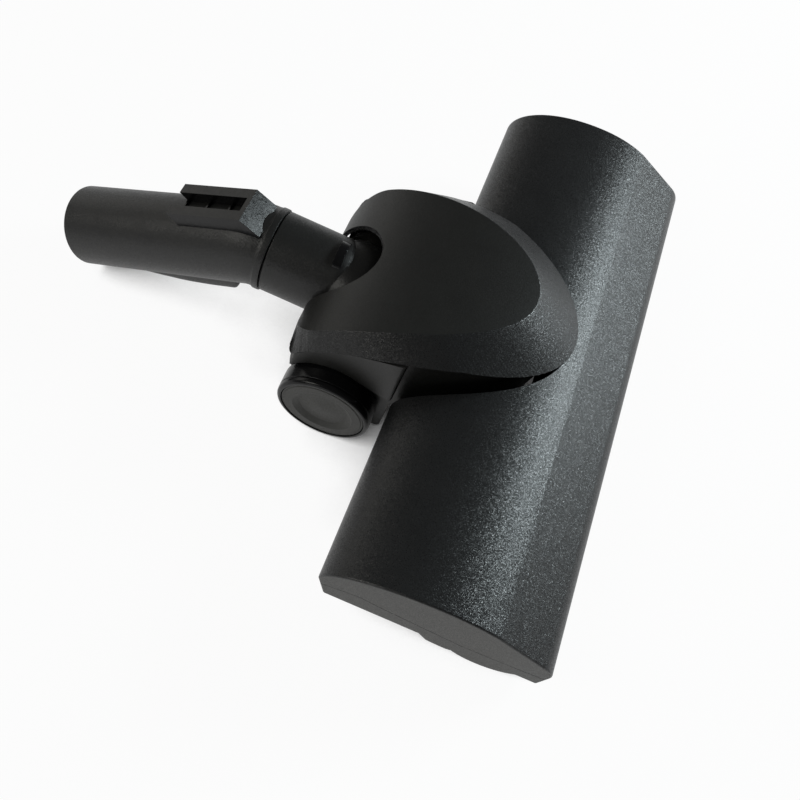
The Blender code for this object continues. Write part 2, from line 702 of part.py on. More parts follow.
def make_neck_housing(head, surface):
    side = neck_half_width()
    sky = COVER_TOP + OPEN_ABOVE
    shoulder = RIM_SHOULDER_Y
    nose = RIM_NOSE_Y + SKIRT_NOSE_INSET
    skirt = RIM_HALF_WIDTH - SKIRT_INSET
    floor = SOLE_HEIGHT + HEAD_WALL + 3 * GAP
    throat = ROLL_Y + BRISTLE_RADIUS + 4.0
    over_roll = ROLL_HEIGHT + BRISTLE_RADIUS + 4.5
    join = HEAD_REAR + 4.0
    housing = add_object("neck_housing", prism_x(chin_outline(0.0), -side, side), surface, head)
    soften(housing, 2.0, 2, 60.0)
    front = ellipse_nose(nose, shoulder, skirt, shoulder + 1.0, 28)
    front = [(x, min(y, join)) for x, y in front]
    fuse(housing, prism_z(trim_plan(front, join), floor, sky))
    cut(housing, rod(ROLL_Y, ROLL_HEIGHT, throat - ROLL_Y, -skirt, skirt, 72))
    inner = ellipse_nose(nose + NECK_WALL, shoulder, skirt - NECK_WALL, shoulder + 1.0, 28)
    cut(housing, prism_z(trim_plan(inner, join + 2.0), over_roll + NECK_WALL, sky + 5.0))
    lower = [(x, max(y, throat + NECK_WALL)) for x, y in trim_plan(inner, join + 2.0)]
    lower = [point for place, point in enumerate(lower) if point != lower[place - 1]]
    lower = [(x, y) for x, y in lower if y > throat + NECK_WALL or abs(x) > 0.0]
    cut(housing, prism_z(lower, floor + NECK_WALL, over_roll + 2 * NECK_WALL))
    cut(housing, prism_x(chin_outline(NECK_WALL), -side + NECK_WALL, side - NECK_WALL))
    make_scroll(housing)
    make_cheeks(housing)
    cut(housing, rim_slab(1.0, GAP))
    cut(housing, prism_z(notch_outline(), HINGE_HEIGHT, sky + 5.0))
    bore = TUBE_RADIUS + 0.8
    mouth = arc((0.0, HINGE_HEIGHT), bore, bore, 0.0, 360.0, 40)[:-1]
    cut(housing, skin([[(x, y, z) for x, z in mouth] for y in (HINGE_Y + 4.0, NECK_REAR_Y + 20.0)]))
    axle = AXLE_RADIUS + GAP
    height = wheel_height()
    for end in (-1, 1):
        near = end * (side - AXLE_HOLD)
        far = end * (side - 0.5)
        fuse(housing, rod(WHEEL_Y, height, AXLE_RADIUS + 3.0, min(near, far), max(near, far), 28))
        cut(housing, rod(WHEEL_Y, height, axle, min(near, far) - 2.0, max(near, far) + 2.0, 24))


def trim_plan(outline, rear_y):
    """Keep the part of a plan outline in front of rear_y, closed by a straight line."""
    kept = [(x, y) for x, y in outline if y < rear_y]
    widest = max(x for x, y in kept)
    return kept + [(widest, rear_y), (-widest, rear_y)]


def make_scroll(housing):
    """The round chamber for the turbine, with its air inlet, outlet and bearing seats."""
    chamber = TURBINE_RADIUS + SCROLL_CLEARANCE
    half = TURBINE_WIDTH / 2 + SCROLL_CLEARANCE
    wall_end = half + TURBINE_BEARING_WIDTH + GAP
    fuse(housing, rod(TURBINE_Y, TURBINE_HEIGHT, chamber + SCROLL_WALL, -wall_end, wall_end, 44))
    cut(housing, rod(TURBINE_Y, TURBINE_HEIGHT, chamber, -half, half, 44))
    seat = TURBINE_BEARING_RADIUS + GAP
    cut(housing, rod(TURBINE_Y, TURBINE_HEIGHT, seat, -wall_end - 1.0, wall_end + 1.0, 28))
    port = TURBINE_WIDTH / 2 - 2.0
    throat = ROLL_Y + BRISTLE_RADIUS
    inlet_low = SOLE_HEIGHT + HEAD_WALL + 6.0
    cut(housing, box((-port, throat, inlet_low), (port, TURBINE_Y - chamber + 6.0, TURBINE_HEIGHT - 6.0)))
    cut(housing, box((-port, TURBINE_Y + 8.0, inlet_low), (port, HINGE_Y - HUB_RADIUS + 4.0, TURBINE_HEIGHT - 6.0)))
    cut(housing, belt_prism(BELT_CLEARANCE, BELT_WIDTH / 2 + 2.0))


def make_cheeks(housing):
    """The two plates inside the housing that carry the elbow's trunnions."""
    front = HINGE_Y - 16.0
    outline = ((front, neck_floor(front) + 1.0), (HINGE_Y, neck_floor(HINGE_Y) + 3.0), (HINGE_Y + 11.0, 8.0),
               (HINGE_Y + 12.0, 27.0), (HINGE_Y + 5.0, 38.0), (front, 44.0))
    for end in (-1, 1):
        near = end * (NOTCH_RADIUS + GAP)
        far = end * (NOTCH_RADIUS + GAP + CHEEK_WIDTH)
        fuse(housing, prism_x(outline, min(near, far), max(near, far)))
    reach = NOTCH_RADIUS + CHEEK_WIDTH + 3.0
    cut(housing, rod(HINGE_Y, HINGE_HEIGHT, TRUNNION_RADIUS + GAP, -reach, reach, 32))


def make_wheel(name, wheel_axis, side, tyre_surface, disc_surface):
    """A tyre and its disc, in the frame of the wheel's axis."""
    back = neck_half_width() + GAP
    face = back + WHEEL_WIDTH
    rim = WHEEL_RADIUS - TYRE_DEPTH
    tyre = [(back, rim), (back, WHEEL_RADIUS - 1.2), (back + 1.2, WHEEL_RADIUS), (face - 3.6, WHEEL_RADIUS),
            (face - 3.2, WHEEL_RADIUS - 0.5), (face - 2.8, WHEEL_RADIUS), (face - 1.4, WHEEL_RADIUS - 0.3),
            (face - 0.4, WHEEL_RADIUS - 1.2), (face, WHEEL_RADIUS - 2.4), (face, rim)]
    add_object(f"tyre_{name}", turned([(side * x, r) for x, r in tyre], 0.0, 0.0, 44), tyre_surface, wheel_axis)
    bore = AXLE_RADIUS + GAP
    web = face - DISH_DEPTH - WHEEL_WEB
    disc = [(web + 1.0, bore), (back + 1.0, bore), (back + 1.0, WHEEL_HUB_RADIUS), (web, WHEEL_HUB_RADIUS),
            (web, rim - 2.2), (back + 1.0, rim - 2.0), (back + 1.0, rim - GAP), (face - 0.5, rim - GAP),
            (face - 0.2, rim - 1.0), (face - 0.2, DISH_RADIUS + 0.5), (face - 0.7, DISH_RADIUS),
            (face - DISH_DEPTH, DISH_RADIUS - 1.6), (face - DISH_DEPTH - 0.4, DISH_RADIUS / 2)]
    add_object(f"wheel_disc_{name}", skin([circle_yz(side * x, 0.0, 0.0, r, 40) for x, r in disc]),
               disc_surface, wheel_axis)


def make_axles(head, steel):
    """Pins that hold the wheels on the neck housing; each ends in its wheel's blind bore."""
    tail = neck_half_width() - AXLE_HOLD - 1.0
    tip = neck_half_width() + WHEEL_WIDTH - DISH_DEPTH - WHEEL_WEB + 1.0
    for name, side in (("wheel_axle_left", -1), ("wheel_axle_right", 1)):
        add_object(name, rod(WHEEL_Y, wheel_height(), AXLE_RADIUS, min(side * tail, side * tip),
                             max(side * tail, side * tip), 24), steel, head)


def ball(radius, half_width, steps=ROUND_STEPS, rings=10):
    """A ball round the origin with flat ends at half_width to each side."""
    slices = []
    for step in range(rings + 1):
        x = half_width * sin(pi / 2 * (2 * step / rings - 1.0))
        slices.append(circle_yz(x, 0.0, 0.0, sqrt(radius * radius - x * x), steps))
    return skin(slices)


def make_elbow(hinge, surface, gloss):
    """The short tube with its ball-shaped hub, in the frame of the hinge axis; it runs along +Y."""
    length = SWIVEL_Y - HINGE_Y
    elbow = add_object("elbow_tube", ball(HUB_RADIUS, HUB_HALF_WIDTH), surface, hinge)
    ahead = Vector((0.0, 1.0, 0.0))
    spigot = TUBE_BORE - GAP
    spigot_end = length + SPIGOT_LENGTH
    outer = [(5.0, TUBE_RADIUS - 1.0), (8.0, TUBE_RADIUS), (length, TUBE_RADIUS), (length, spigot),
             (spigot_end - 0.8, spigot), (spigot_end, spigot - 0.6)]
    fuse(elbow, skin([tube_ring(ahead * y, ahead, radius) for y, radius in outer]))
    for end in (-1, 1):
        near = end * (HUB_HALF_WIDTH - 1.0)
        far = end * (NOTCH_RADIUS + CHEEK_WIDTH + 2.0)
        fuse(elbow, rod(0.0, 0.0, TRUNNION_RADIUS, min(near, far), max(near, far), 28))
    cut(elbow, ball(HUB_RADIUS - HUB_WALL, HUB_HALF_WIDTH - HUB_WALL))
    bore = spigot - SPIGOT_WALL
    cut(elbow, skin([tube_ring(ahead * y, ahead, bore) for y in (0.0, spigot_end + 5.0)]))
    wedge = [(0.0, 0.0)] + arc((0.0, 0.0), 2 * HUB_RADIUS, 2 * HUB_RADIUS, 125.0, 212.0, 8)
    mouth = HUB_HALF_WIDTH - HUB_WALL - 2.0
    cut(elbow, prism_x(wedge, -mouth, mouth))


def make_stop_tab(hinge, gloss):
    """The half-moon tab on top of the elbow."""
    ahead = Vector((0.0, 1.0, 0.0))
    tab = arc((0.0, TUBE_RADIUS - 4.0), TAB_HALF_WIDTH, TAB_HEIGHT + 4.0, 15.0, 165.0, 12)
    stop = add_object("stop_tab", skin([[(x, y, z) for x, z in tab] for y in (TAB_START, TAB_START + TAB_LENGTH)]),
                      gloss, hinge)
    cut(stop, skin([tube_ring(ahead * y, ahead, TUBE_RADIUS + GAP) for y in (0.0, SWIVEL_Y - HINGE_Y)]))


def make_swivel_ring(hinge, surface):
    """A snap ring on the spigot."""
    start = SWIVEL_Y - HINGE_Y + RING_START
    ahead = Vector((0.0, 1.0, 0.0))
    rings = []
    for y, radius in ((start, TUBE_BORE), (start, TUBE_BORE + RING_DEPTH),
                      (start + RING_WIDTH, TUBE_BORE + RING_DEPTH), (start + RING_WIDTH, TUBE_BORE)):
        rings.append(tube_ring(ahead * y, ahead, radius))
    add_object("swivel_ring", skin(rings, closed=True), surface, hinge)


def tube_path(distance):
    """Centre and direction of the connector tube at a distance along it, from the swivel."""
    bend = radians(BEND_ANGLE)
    arc_length = BEND_RADIUS * bend
    start = BEND_START - BEND_RADIUS * tan(bend / 2)
    if distance <= start:
        return Vector((0.0, distance, 0.0)), Vector((0.0, 1.0, 0.0))
    if distance <= start + arc_length:
        angle = (distance - start) / BEND_RADIUS
        centre = Vector((0.0, start + BEND_RADIUS * sin(angle), BEND_RADIUS * (cos(angle) - 1.0)))
        return centre, Vector((0.0, cos(angle), -sin(angle)))
    direction = Vector((0.0, cos(bend), -sin(bend)))
    turned_at = Vector((0.0, start + BEND_RADIUS * sin(bend), BEND_RADIUS * (cos(bend) - 1.0)))
    return turned_at + direction * (distance - start - arc_length), direction


def tube_total():
    """Length of the connector tube along its centre line."""
    bend = radians(BEND_ANGLE)
    return BEND_START + TUBE_LENGTH - 2 * BEND_RADIUS * tan(bend / 2) + BEND_RADIUS * bend


def tube_stations():
    """Distances along the tube where its rings stand."""
    bend = radians(BEND_ANGLE)
    start = BEND_START - BEND_RADIUS * tan(bend / 2)
    length = BEND_RADIUS * bend
    return [start + length * step / 8 for step in range(9)]


def make_connector(swivel, surface):
    total = tube_total()
    outer = [(2 * GAP, TUBE_RADIUS + COLLAR_RISE), (max(tube_stations()[0] - 0.2, 1.0), TUBE_RADIUS + COLLAR_RISE)]
    outer += [(distance, TUBE_RADIUS) for distance in tube_stations()[1:]]
    outer += [(total - MOUTH_ROUND, TUBE_RADIUS), (total, TUBE_RADIUS - MOUTH_ROUND)]
    inner = [(total, TUBE_BORE)] + [(distance, TUBE_BORE) for distance in reversed(tube_stations())] + [(2 * GAP, TUBE_BORE)]
    rings = []
    for distance, radius in outer + inner:
        centre, direction = tube_path(distance)
        rings.append(tube_ring(centre, direction, radius))
    tube = add_object("connector_tube", skin(rings, closed=True), surface, swivel)
    fuse_hump(tube, total)
    groove = []
    ahead = Vector((0.0, 1.0, 0.0))
    start = RING_START - GAP
    end = RING_START + RING_WIDTH + GAP
    deep = TUBE_BORE + RING_DEPTH + GAP
    for y, radius in ((start, TUBE_BORE - 2.0), (start, deep), (end, deep), (end, TUBE_BORE - 2.0)):
        groove.append(tube_ring(ahead * y, ahead, radius))
    cut(tube, skin(groove, closed=True))


def fuse_hump(tube, total):
    """The flat-bottomed hump under the tube, which tapers towards the mouth."""
    rings = []
    buried = TUBE_BORE + 1.0
    half = HUMP_HALF_WIDTH
    for share, depth in ((0.0, -0.1), (0.45, 0.75), (0.75, 1.0), (0.94, 1.0), (1.0, 0.2)):
        centre, direction = tube_path(total - HUMP_START - HUMP_LENGTH * share)
        upright = Vector((1.0, 0.0, 0.0)).cross(direction).normalized()
        low = TUBE_RADIUS + HUMP_DEPTH * depth
        outline = [(-half, low - 1.5), (-half + 2.0, low), (half - 2.0, low), (half, low - 1.5)]
        outline += [(x * half, sqrt(buried ** 2 - (x * half) ** 2)) for x in (1.0, 0.5, 0.0, -0.5, -1.0)]
        rings.append([tuple(centre + Vector((x, 0.0, 0.0)) - upright * drop) for x, drop in outline])
    fuse(tube, skin(rings))


def make_latch_receiver(swivel, surface):
    """Two rails joined by an end wall, on top of the tube; the latch of the suction tube goes between them."""
    centre, direction = tube_path(CLIP_TIP)
    upright = Vector((1.0, 0.0, 0.0)).cross(direction).normalized()

    def outline(points, half):
        ends = []
        for x in (-half, half):
            ends.append([tuple(centre + Vector((x, 0.0, 0.0)) - direction * back + upright * up) for back, up in points])
        return skin(ends)

    half = CLIP_WIDTH / 2
    high = TUBE_RADIUS + CLIP_HEIGHT
    foot = sqrt(TUBE_RADIUS ** 2 - half ** 2)
    end = CLIP_LENGTH + CLIP_END_SLANT
    side = ((0.0, high), (CLIP_TIP_SLANT, foot), (CLIP_TIP_SLANT, foot - 4.0), (CLIP_LENGTH, foot - 10.0),
            (end, foot - 2.0), (CLIP_LENGTH, high))
    clip = add_object("latch_receiver", outline(side, half), surface, swivel)
    inside = CLIP_LENGTH - CLIP_END_WALL
    channel = ((-5.0, high + 5.0), (-5.0, foot - 10.0), (inside + CLIP_END_SLANT, foot - 10.0),
               (inside + CLIP_END_SLANT, foot - 2.0), (inside, high), (inside, high + 5.0))
    cut(clip, outline(channel, half - CLIP_RAIL))
    for rib in range(CLIP_RIBS):
        back = CLIP_LENGTH * (rib + 0.25) / (CLIP_RIBS + 0.25)
        low = TUBE_RADIUS - 4.0
        top = TUBE_RADIUS + GAP + CLIP_RIB_HEIGHT
        fuse(clip, outline(((back, low), (back + CLIP_RIB_WIDTH, low), (back + CLIP_RIB_WIDTH, top), (back, top)),
                           half - CLIP_RAIL + 1.0))
    bed = []
    for distance in [0.0] + tube_stations() + [tube_total()]:
        middle, ahead = tube_path(distance)
        bed.append(tube_ring(middle, ahead, TUBE_RADIUS + GAP, 60))
    cut(clip, skin(bed))


def rest_tilt():
    """The angle at which the floor touches both the end skids and the lowest edge of the tube's mouth."""
    centre, direction = tube_path(tube_total() - MOUTH_ROUND)
    upright = Vector((1.0, 0.0, 0.0)).cross(direction).normalized()
    edge = centre - upright * TUBE_RADIUS
    run_y = SWIVEL_Y + edge.y - ROLL_Y
    run_z = HINGE_HEIGHT + edge.z - ROLL_HEIGHT
    return -(atan2(run_z, run_y) + asin(SKID_RADIUS / hypot(run_y, run_z)))


def centre_footprint(head):
    """Move the model along Y until its origin is at the middle of its footprint."""
    bpy.context.view_layer.update()
    lip = bpy.data.objects["upper_shell"]
    mouth = bpy.data.objects["connector_tube"]
    front = min((lip.matrix_world @ vertex.co).y for vertex in lip.data.vertices)
    rear = max((mouth.matrix_world @ vertex.co).y for vertex in mouth.data.vertices)
    head.location.y -= (front + rear) / 2


def build():
    for old in list(bpy.data.objects):
        bpy.data.objects.remove(old, do_unlink=True)
    textured = material("textured_black", (0.022, 0.023, 0.024), 0.45)
    satin = material("satin_black", (0.018, 0.018, 0.017), 0.5)
    grey = material("base_grey", (0.05, 0.05, 0.046), 0.55)
    gloss = material("gloss_black", (0.008, 0.008, 0.009), 0.15)
    dish = material("wheel_grey", (0.055, 0.055, 0.05), 0.5)
    bristle = material("bristle_black", (0.012, 0.012, 0.012), 0.8)
    roll_grey = material("roll_grey", (0.06, 0.06, 0.062), 0.45)
    white = material("bearing_white", (0.6, 0.6, 0.58), 0.4)
    rubber = material("belt_rubber", (0.015, 0.015, 0.015), 0.7)
    steel = material("steel", (0.55, 0.55, 0.56), 0.3, 1.0)

    tilt = rest_tilt()
    head = axis_empty("head_frame", None, 0.0, 0.0, tilt)
    lift = SKID_RADIUS - (ROLL_Y * sin(tilt) + ROLL_HEIGHT * cos(tilt))
    head.location.z = lift * MM

    make_upper_shell(head, textured)
    make_base(head, grey)
    make_tunnel(head, satin)
    make_glides(head, grey)
    make_roll_bearings(head, white)
    roll_axis = axis_empty("roll_axis", head, ROLL_Y, ROLL_HEIGHT)
    make_brush_roll(roll_axis, roll_grey, bristle, white, steel)
    turbine_axis = axis_empty("turbine_axis", head, TURBINE_Y, TURBINE_HEIGHT)
    make_turbine(turbine_axis, white, white, steel)
    make_turbine_bearings(head, steel)
    make_belt(head, rubber)
    make_neck_cover(head, satin)
    make_neck_housing(head, satin)
    for name, side in (("left", -1), ("right", 1)):
        wheel_axis = axis_empty(f"wheel_axis_{name}", head, WHEEL_Y, wheel_height())
        make_wheel(name, wheel_axis, side, gloss, dish)
    make_axles(head, steel)
    hinge = axis_empty("elbow_hinge", head, HINGE_Y, HINGE_HEIGHT)
    make_elbow(hinge, satin, gloss)
    make_stop_tab(hinge, gloss)
    make_swivel_ring(hinge, white)
    swivel = axis_empty("swivel_axis", hinge, SWIVEL_Y - HINGE_Y, 0.0)
    make_connector(swivel, satin)
    make_latch_receiver(swivel, gloss)
    centre_footprint(head)


build()
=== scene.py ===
"""Looks of the vacuum turbo brush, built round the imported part.

Lengths are in millimetres in the head frame, as in the part: X along the head, +Y back towards the tube,
+Z up. HEAD turns them into the row frame in metres.
"""
import json
import random
from math import asin, cos, pi, radians, sin, sqrt, tan

import bmesh
import bpy
from mathutils import Matrix, Vector


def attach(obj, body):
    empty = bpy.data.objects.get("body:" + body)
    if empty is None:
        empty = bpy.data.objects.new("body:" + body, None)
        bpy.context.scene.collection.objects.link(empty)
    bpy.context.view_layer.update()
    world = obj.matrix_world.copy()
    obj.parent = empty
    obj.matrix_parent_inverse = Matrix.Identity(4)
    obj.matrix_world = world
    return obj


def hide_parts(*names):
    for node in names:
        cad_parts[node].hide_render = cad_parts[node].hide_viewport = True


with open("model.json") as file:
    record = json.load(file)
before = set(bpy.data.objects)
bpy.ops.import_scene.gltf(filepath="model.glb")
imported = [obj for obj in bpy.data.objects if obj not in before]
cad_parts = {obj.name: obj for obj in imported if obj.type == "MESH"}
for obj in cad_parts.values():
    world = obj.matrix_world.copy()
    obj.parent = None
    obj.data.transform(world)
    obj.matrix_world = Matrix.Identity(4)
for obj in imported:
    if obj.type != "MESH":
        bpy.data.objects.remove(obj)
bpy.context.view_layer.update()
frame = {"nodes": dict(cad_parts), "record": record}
MM = 0.001
GAP = 0.3

# The head frame of the part, and the camera found in it from the photograph
HEAD_TILT = radians(9.1655)
HEAD_ORIGIN = Vector((0.0, -0.08703, 0.00455))
CAMERA_PLACE = Vector((-0.22393, 0.05924, 0.35016))
CAMERA_RIGHT = Vector((0.3378, -0.9144, 0.2232))
CAMERA_DOWN = Vector((-0.8106, -0.4032, -0.4247))
CAMERA_AHEAD = Vector((0.4783, -0.0375, -0.8774))
CAMERA_LENS = 37.575
CAMERA_SENSOR = 36.0

# How far shapes that only cut reach past what they cut: the common step, and the other distances
PAST = 5.0
SLAB_DEPTH = 120.0
NOSE_MARGIN = 3.0
CORNER_MARGIN = 2.0
ARCH_CUT_END = 80.0

# Shape tools: the least share of a mitre, the weld distance in metres, what counts as flat in degrees,
# and a tiny radius that keeps a closed profile off its axis
MITRE_LIMIT = 0.3
WELD_DISTANCE = 0.00001
FLAT_ANGLE = 0.6
AXIS_HOLE = 0.02

# Head
HEAD_LENGTH = 270.0
HEAD_REAR = 48.3
HEAD_CREST = 51.7
FLANK_HEIGHT = 26.5
FRONT_ARC_DEPTH = 41.0
CREASE_Y = -22.9
CREASE_ROUND = 3.0
CHAMFER_SLOPE = 27.6
LIP_Y = -52.6
LIP_FILLET = 12.0
LIP_ROUND = 0.6
SOLE_HEIGHT = 9.5
REAR_DRAFT = 4.6
HEAD_WALL = 2.4
HEAD_EDGE = 0.9
END_FACE_DEPTH = 0.1
END_FACE_SQUARENESS = 0.97
CUTOUT_NOSE_GAP = 1.5
CUTOUT_SIDE_GAP = 4.6

# Parting line between the shell and the base, from rear to front
SEAM = ((70.0, 19.0), (47.0, 21.0), (30.0, 25.0), (22.0, 23.0),
        (-15.0, 18.0), (-30.0, 18.5), (-70.0, 23.0))

# Brush roll, and what takes up its length
ROLL_Y = -27.0
ROLL_HEIGHT = 19.5
CORE_RADIUS = 9.5
ROLL_END_CLEARANCE = 1.0
END_WALL = 6.0
BEARING_WIDTH = 5.0
BELT_X = 33.0
PULLEY_WIDTH = 9.0
FLANGE_WIDTH = 1.0
BRISTLE_RADIUS = 19.0
BRISTLE_TWIST = 100.0
BRISTLE_END_GAP = 1.0
BRISTLE_PULLEY_GAP = 3.0
TUFT_SPACING = 3.4
TUFT_FILAMENTS = 30
TUFT_ROOT = 1.1
TUFT_TIP = 1.7
TUFT_SINK = 0.6
TUFT_UNEVEN = 1.0
TUFT_SHORT = 0.25
TIP_SWAY_ALONG = 0.25
TIP_SWAY_ACROSS = 0.2
FILAMENT_RADIUS = 0.14
FILAMENT_TAPER = 0.7

# Neck cover: the smooth top and the sloping rim round it
COVER_TOP = 69.8
COVER_CENTRE_Y = 5.0
COVER_REACH = 97.0
COVER_BASE = 21.5
TOP_HALF_WIDTH = 43.4
TOP_NOSE_Y = 9.0
TOP_REAR_Y = 97.5
TOP_CORNER_LENGTH = 12.4
TOP_CORNER_WIDTH = 13.0
RIM_HALF_WIDTH = 49.4
RIM_NOSE_Y = -17.0
RIM_SHOULDER_Y = 71.7
RIM_REAR_Y = 99.5
RIM_DROP = 9.0
RIM_NOSE_DROP = 16.5
RIM_DROP_START_Y = 28.0
COVER_REAR_SEAM = 27.0
COVER_WALL = 2.2
REAR_CORNER = 4.5
NOTCH_RADIUS = 21.3
NOTCH_Y = 100.0
EDGE_ROUND = 0.6

# Neck housing: the recess for each wheel, the wall behind it and the boss round the axle
NECK_HALF_WIDTH = 48.8
NECK_REAR_Y = 98.0
ARCH_RADIUS = 24.2
ARCH_DEPTH = 3.8
ARCH_START_ANGLE = 117.0
ARCH_FRONT_HEIGHT = 22.6
ARCH_FRONT_FALL = 1.4
ARCH_STEPS = 40
LINER_WALL = 2.2
LINER_RISE = 2.4
LINER_INSET = 1.0
LINER_FRONT_GAP = 1.5
LINER_BOTTOM = -13.0
BOSS_PLAY = 0.6
BOSS_INSET = 0.5

# The lower rear corner of the wall, as distance in front of the housing's rear and height
LINER_CORNER = ((1.2, 12.0), (4.0, 3.0), (12.0, -8.0))

# Wheels: place in the row frame, and sizes
WHEEL_PLACE = Vector((0.0, -13.45, 22.5))
WHEEL_Y = 75.5
WHEEL_HEIGHT = 6.0
WHEEL_RADIUS = 22.5
WHEEL_WIDTH = 9.3
WHEEL_WEB = 3.0
WHEEL_HUB_RADIUS = 6.0
AXLE_RADIUS = 3.0
TYRE_DEPTH = 2.2
TYRE_TUCK = 2.8
TYRE_FALL = 0.2
GROOVE_PLACE = 3.2
GROOVE_HALF_WIDTH = 0.4
GROOVE_DEPTH = 0.6
DISC_INSET = 1.0
DISC_EDGE_DEPTH = 0.4
DISC_EDGE_WIDTH = 1.3
DISC_EDGE_SLANT = 0.2
DISC_FACE_DEPTH = 0.15
DISC_RIM_WALL = 2.0
DISC_RIM_SLANT = 0.2
DISH_RADIUS = 14.5
DISH_DEPTH = 1.6
DISH_EXTRA_DEPTH = 0.3
DISH_LIP = 0.2
DISH_WALL = 2.8
DOME_RISE = 0.8
DOME_INSET = 0.2

# Rounds of the corners of the tyre's and the disc's sections, by the corner's number
TYRE_ROUNDS = {1: 1.2, 2: 0.2, 4: 0.25, 5: 1.5, 6: 0.3}
DISC_ROUNDS = {1: 0.3, 3: 0.15, 4: 0.35, 5: 0.6}

# Elbow
HINGE_Y = 85.0
HINGE_HEIGHT = 24.0
HUB_RADIUS = 19.2
HUB_WALL = 2.0
HUB_HALF_WIDTH = 20.6
BALL_SQUARENESS = 2.6
BALL_END_SHARE = 0.985
TRUNNION_RADIUS = 8.5
TRUNNION_HOLD = 3.0
TRUNNION_EXTRA = 2.0
CHEEK_WIDTH = 3.0
SWIVEL_Y = 125.8
SPIGOT_LENGTH = 5.2
SPIGOT_WALL = 2.0
SPIGOT_TAPER_LENGTH = 0.8
SPIGOT_TAPER = 0.6
AIR_WEDGE = (152.0, 212.0)
AIR_SIDE_WALL = 5.0
TAB_START = 8.5
TAB_LENGTH = 4.0
TAB_HALF_WIDTH = 8.5
TAB_HEIGHT = 2.6
TAB_SINK = 4.0
TAB_START_ANGLE = 15.0
TAB_EDGE = 0.35

# Rounds of the elbow's tube, as distance past the hinge or before the end, and fall below its radius
ELBOW_START = ((5.0, 1.0), (6.2, 0.5), (8.0, 0.05), (9.5, 0.0))
ELBOW_END = ((0.5, 0.0), (0.15, 0.15), (0.0, 0.5))

# Tube
TUBE_RADIUS = 19.5
TUBE_BORE = 17.5
TUBE_LENGTH = 100.0
BEND_START = 9.0
BEND_ANGLE = 27.5
BEND_RADIUS = 20.0
MOUTH_ROUND = 0.8
MOUTH_MARGIN = 2.0
BORE_CHAMFER = 0.5
COLLAR_RISE = 0.6
COLLAR_END_GAP = 0.2
HUMP_START = 24.0
HUMP_LENGTH = 60.0
HUMP_HALF_WIDTH = 10.0
HUMP_DEPTH = 5.5
HUMP_RISE_END = 0.75
HUMP_FALL_START = 0.93
HUMP_LEAST_DEPTH = 0.05
HUMP_SQUARENESS = 14
HUMP_BLEND = 30
HUMP_BLEND_START = 0.9

# Edges of the collar: distance past its start and fall, distance before its end and fall, and
# distance past its end and rise over the plain tube
COLLAR_FRONT = ((0.0, 0.3), (0.15, 0.08), (0.4, 0.0))
COLLAR_REAR = ((0.6, 0.0), (0.2, 0.15))
COLLAR_FOOT = ((0.3, 0.1), (0.9, 0.0))

# Latch receiver on top of the tube
CLIP_TIP = 43.3
CLIP_LENGTH = 39.5
CLIP_WIDTH = 19.4
CLIP_HEIGHT = 4.8
CLIP_RAIL = 5.6
CLIP_END_WALL = 2.5
CLIP_END_SLANT = 6.5
CLIP_END_FALL = 2.0
CLIP_TIP_SLANT = 3.0
CLIP_TIP_SINK = 4.0
CLIP_SINK = 10.0
CLIP_RIBS = 3
CLIP_RIB_WIDTH = 0.8
CLIP_RIB_HEIGHT = 1.0
CLIP_RIB_LEAD = 0.25
CLIP_RIB_SINK = 4.0
CLIP_RIB_HOLD = 1.0
CLIP_BED_STEP = 2.0
CLIP_EDGE = 0.45

# Moulded plastics: dark and light colour, roughness and its spread, grains a metre, tilt, specular level
PLASTICS = {
    "textured_black": ((0.0088, 0.0092, 0.0096), (0.0118, 0.0122, 0.0126), 0.35, 0.08, 4300.0, 0.36, 0.5),
    "satin_black": ((0.0088, 0.0089, 0.0080), (0.0116, 0.0117, 0.0106), 0.44, 0.06, 4300.0, 0.12, 0.5),
    "elbow_black": ((0.0088, 0.0089, 0.0084), (0.0118, 0.0119, 0.0112), 0.42, 0.06, 4300.0, 0.24, 0.5),
    # base_grey also colours the head shell's end faces, where its lighter grey is partly painted light from
    # the floor
    "base_grey": ((0.034, 0.034, 0.030), (0.042, 0.042, 0.0375), 0.52, 0.06, 3600.0, 0.2, 0.5),
    "gloss_black": ((0.004, 0.004, 0.0045), (0.006, 0.006, 0.0065), 0.22, 0.04, 900.0, 0.02, 0.25),
    "wheel_grey": ((0.030, 0.030, 0.0265), (0.037, 0.037, 0.033), 0.55, 0.06, 2600.0, 0.1, 0.5),
    "bristle": ((0.006, 0.006, 0.006), (0.014, 0.014, 0.014), 0.55, 0.06, 2000.0, 0.1, 0.5),
    "roll_grey": ((0.04, 0.04, 0.042), (0.055, 0.055, 0.058), 0.45, 0.06, 2000.0, 0.1, 0.5),
    "bearing_white": ((0.55, 0.55, 0.53), (0.62, 0.62, 0.6), 0.4, 0.06, 2000.0, 0.1, 0.5),
    "belt_rubber": ((0.012, 0.012, 0.012), (0.02, 0.02, 0.02), 0.7, 0.06, 2000.0, 0.2, 0.5),
}
SHEEN_SCALE = 0.6
CLOUD_SCALE = 70.0
STEEL_COLOUR = (0.55, 0.55, 0.56)
STEEL_GRAIN = 3000.0
STEEL_RELIEF = 0.00001
STEEL_ROUGHNESS = (0.24, 0.38)

# Floor: its glow for the camera and the share of it in reflections, and how it darkens under the object
FLOOR_REACH = 4.0
FLOOR_COLOUR = (0.85, 0.85, 0.85)
FLOOR_ROUGHNESS = 0.9
FLOOR_GLOW = 0.95
FLOOR_MIRRORED = 0.75
FLOOR_SHADE_REACH = 0.06
FLOOR_SHADE_RANGE = (0.12, 0.5)

# Light of the studio by the height of a direction; the first two are the ramp's ends
STUDIO_LIGHT = ((0.0, 0.45), (1.0, 0.09), (0.15, 0.25), (0.4, 0.1))

